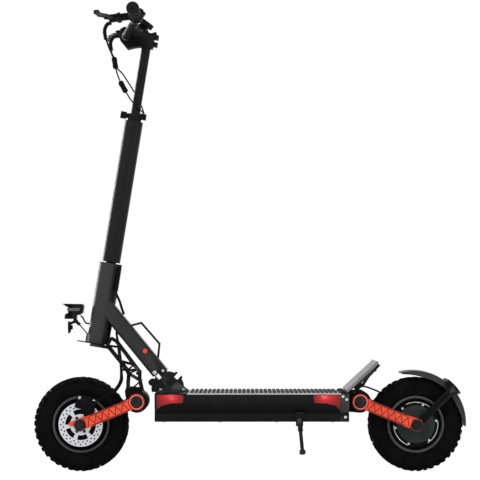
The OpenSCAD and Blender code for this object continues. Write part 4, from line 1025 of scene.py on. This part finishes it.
plugA, plugB = ((-371, -42, 1132), (-366, -40, 1100)), ((-355, -34, 1067), (-338, -30, 1036))
barRuns = [ribbedRun([(-372, side * 131, 1213), (-384, side * 130, 1208), (-391, side * 124, 1192),
                      (-388, side * 114, 1170)], 5.5, 0.7, 12) for side in (-1, 1)]
barRuns += [
    cableRun([(-388, -115, 1172), (-380, -80, 1148), (-371, -41, 1130)], 2.5),
    cableRun([(-388, 115, 1172), (-383, 60, 1150), (-376, 0, 1138), (-370, -41, 1128)], 2.5),
    inlinePlug(*plugA, 7.5), cableRun([plugA[1], (-361, -38, 1083), plugB[0]], 2), inlinePlug(*plugB, 7.5),
    cableRun([plugB[1], (-325, -27, 1016), (-309, -20, 998), (-298, -10, 988), (-292, -7, 982)], 2),
    cableRun([(-366, -40, 1104), (-350, -18, 1090), (-336, 6, 1070), (-322, 20, 1048), (-306, 21, 1020),
              (-296, 11, 996), (-291.5, 7, 982)], 2)]
barCables = placeCables("bar_cables", barRuns)
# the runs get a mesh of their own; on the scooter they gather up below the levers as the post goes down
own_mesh(barCables)
placeCables("head_cables", [
    ribbedRun([(-368, -27, 492), (-363, -25, 480)], 3.5, 0.5, 10),
    cableRun([(-363, -25, 480), (-356, -18, 463), (-351, -12, 445), (-345.4, -9, 430)], 3.4)])
placeCables("light_cable", [
    cableRun([(-466, 12, 426), (-460, 12, 420), (-455, 9, 410), (-449, 4, 405), (-441.5, 2, 404)], 2.2)])
placeCables("front_cables", [
    cableRun([(-363.3, -8, 391.7), (-366.7, -8.5, 378.5), (-362, -14, 346), (-356, -22, 306),
              (-353, -30, 268), (-356, -46, 244), (-372, -51, 222), (-396, -51, 205), (-415.6, -50, 194)], 2.4),
    cableRun([(-363.3, 8, 391.7), (-366.7, 8.5, 378.5), (-362, 14, 346), (-356, 22, 306), (-354, 30, 268),
              (-355, 48, 244), (-372, 53, 216), (-405, 54, 176), (-436, 55, 144), (-453, 57, 134)], 3)])
placeCables("rear_cable", [cableRun([(300, 64, 224), (316, 60, 229), (340, 56, 222), (373, 54, 208),
                                     (407.8, 51, 193.6)], 2.4)])
print("cables done")

# loose fasteners that the solids leave plain
boltSizes = {"radius": 0.0042, "height": 0.0028}


def boltPair(name, x, z, half, body, paint="zinc"):
    head = turned(boltHead(boltSizes["radius"], boltSizes["height"]), Matrix.Translation((x, -half, z)))
    placePiece(name, joined(name, bothSides(head)), body, [paint])


neckSide = Vector((neckLine.z, 0, -neckLine.x))
beamBolt = foldPin + neckSide * 0.0205 + neckLine * 0.0445
boltPair("beamBolts", beamBolt.x, beamBolt.z, 0.029, "neck")
lampLow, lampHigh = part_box("headlight")
bandTop, bandFoot = lampHigh[2] - 0.012, lampHigh[2] - 0.020
bandOutline = [(lampLow[0] + 0.014, bandFoot), (lampHigh[0] - 0.012, bandFoot),
               (lampHigh[0] - 0.008, bandTop), (lampLow[0] + 0.014, bandTop)]
bandDepth = (lampHigh[1] - 0.0006, lampHigh[1] + 0.0004)
bands = [extruded("band", bandOutline, *sorted((s * bandDepth[0], s * bandDepth[1])), 0.0003, 1)
         for s in (-1, 1)]
placePiece("lampBands", joined("lampBands", bands), "headlight", ["rimGrey"], smooth=0)
print("fasteners done")
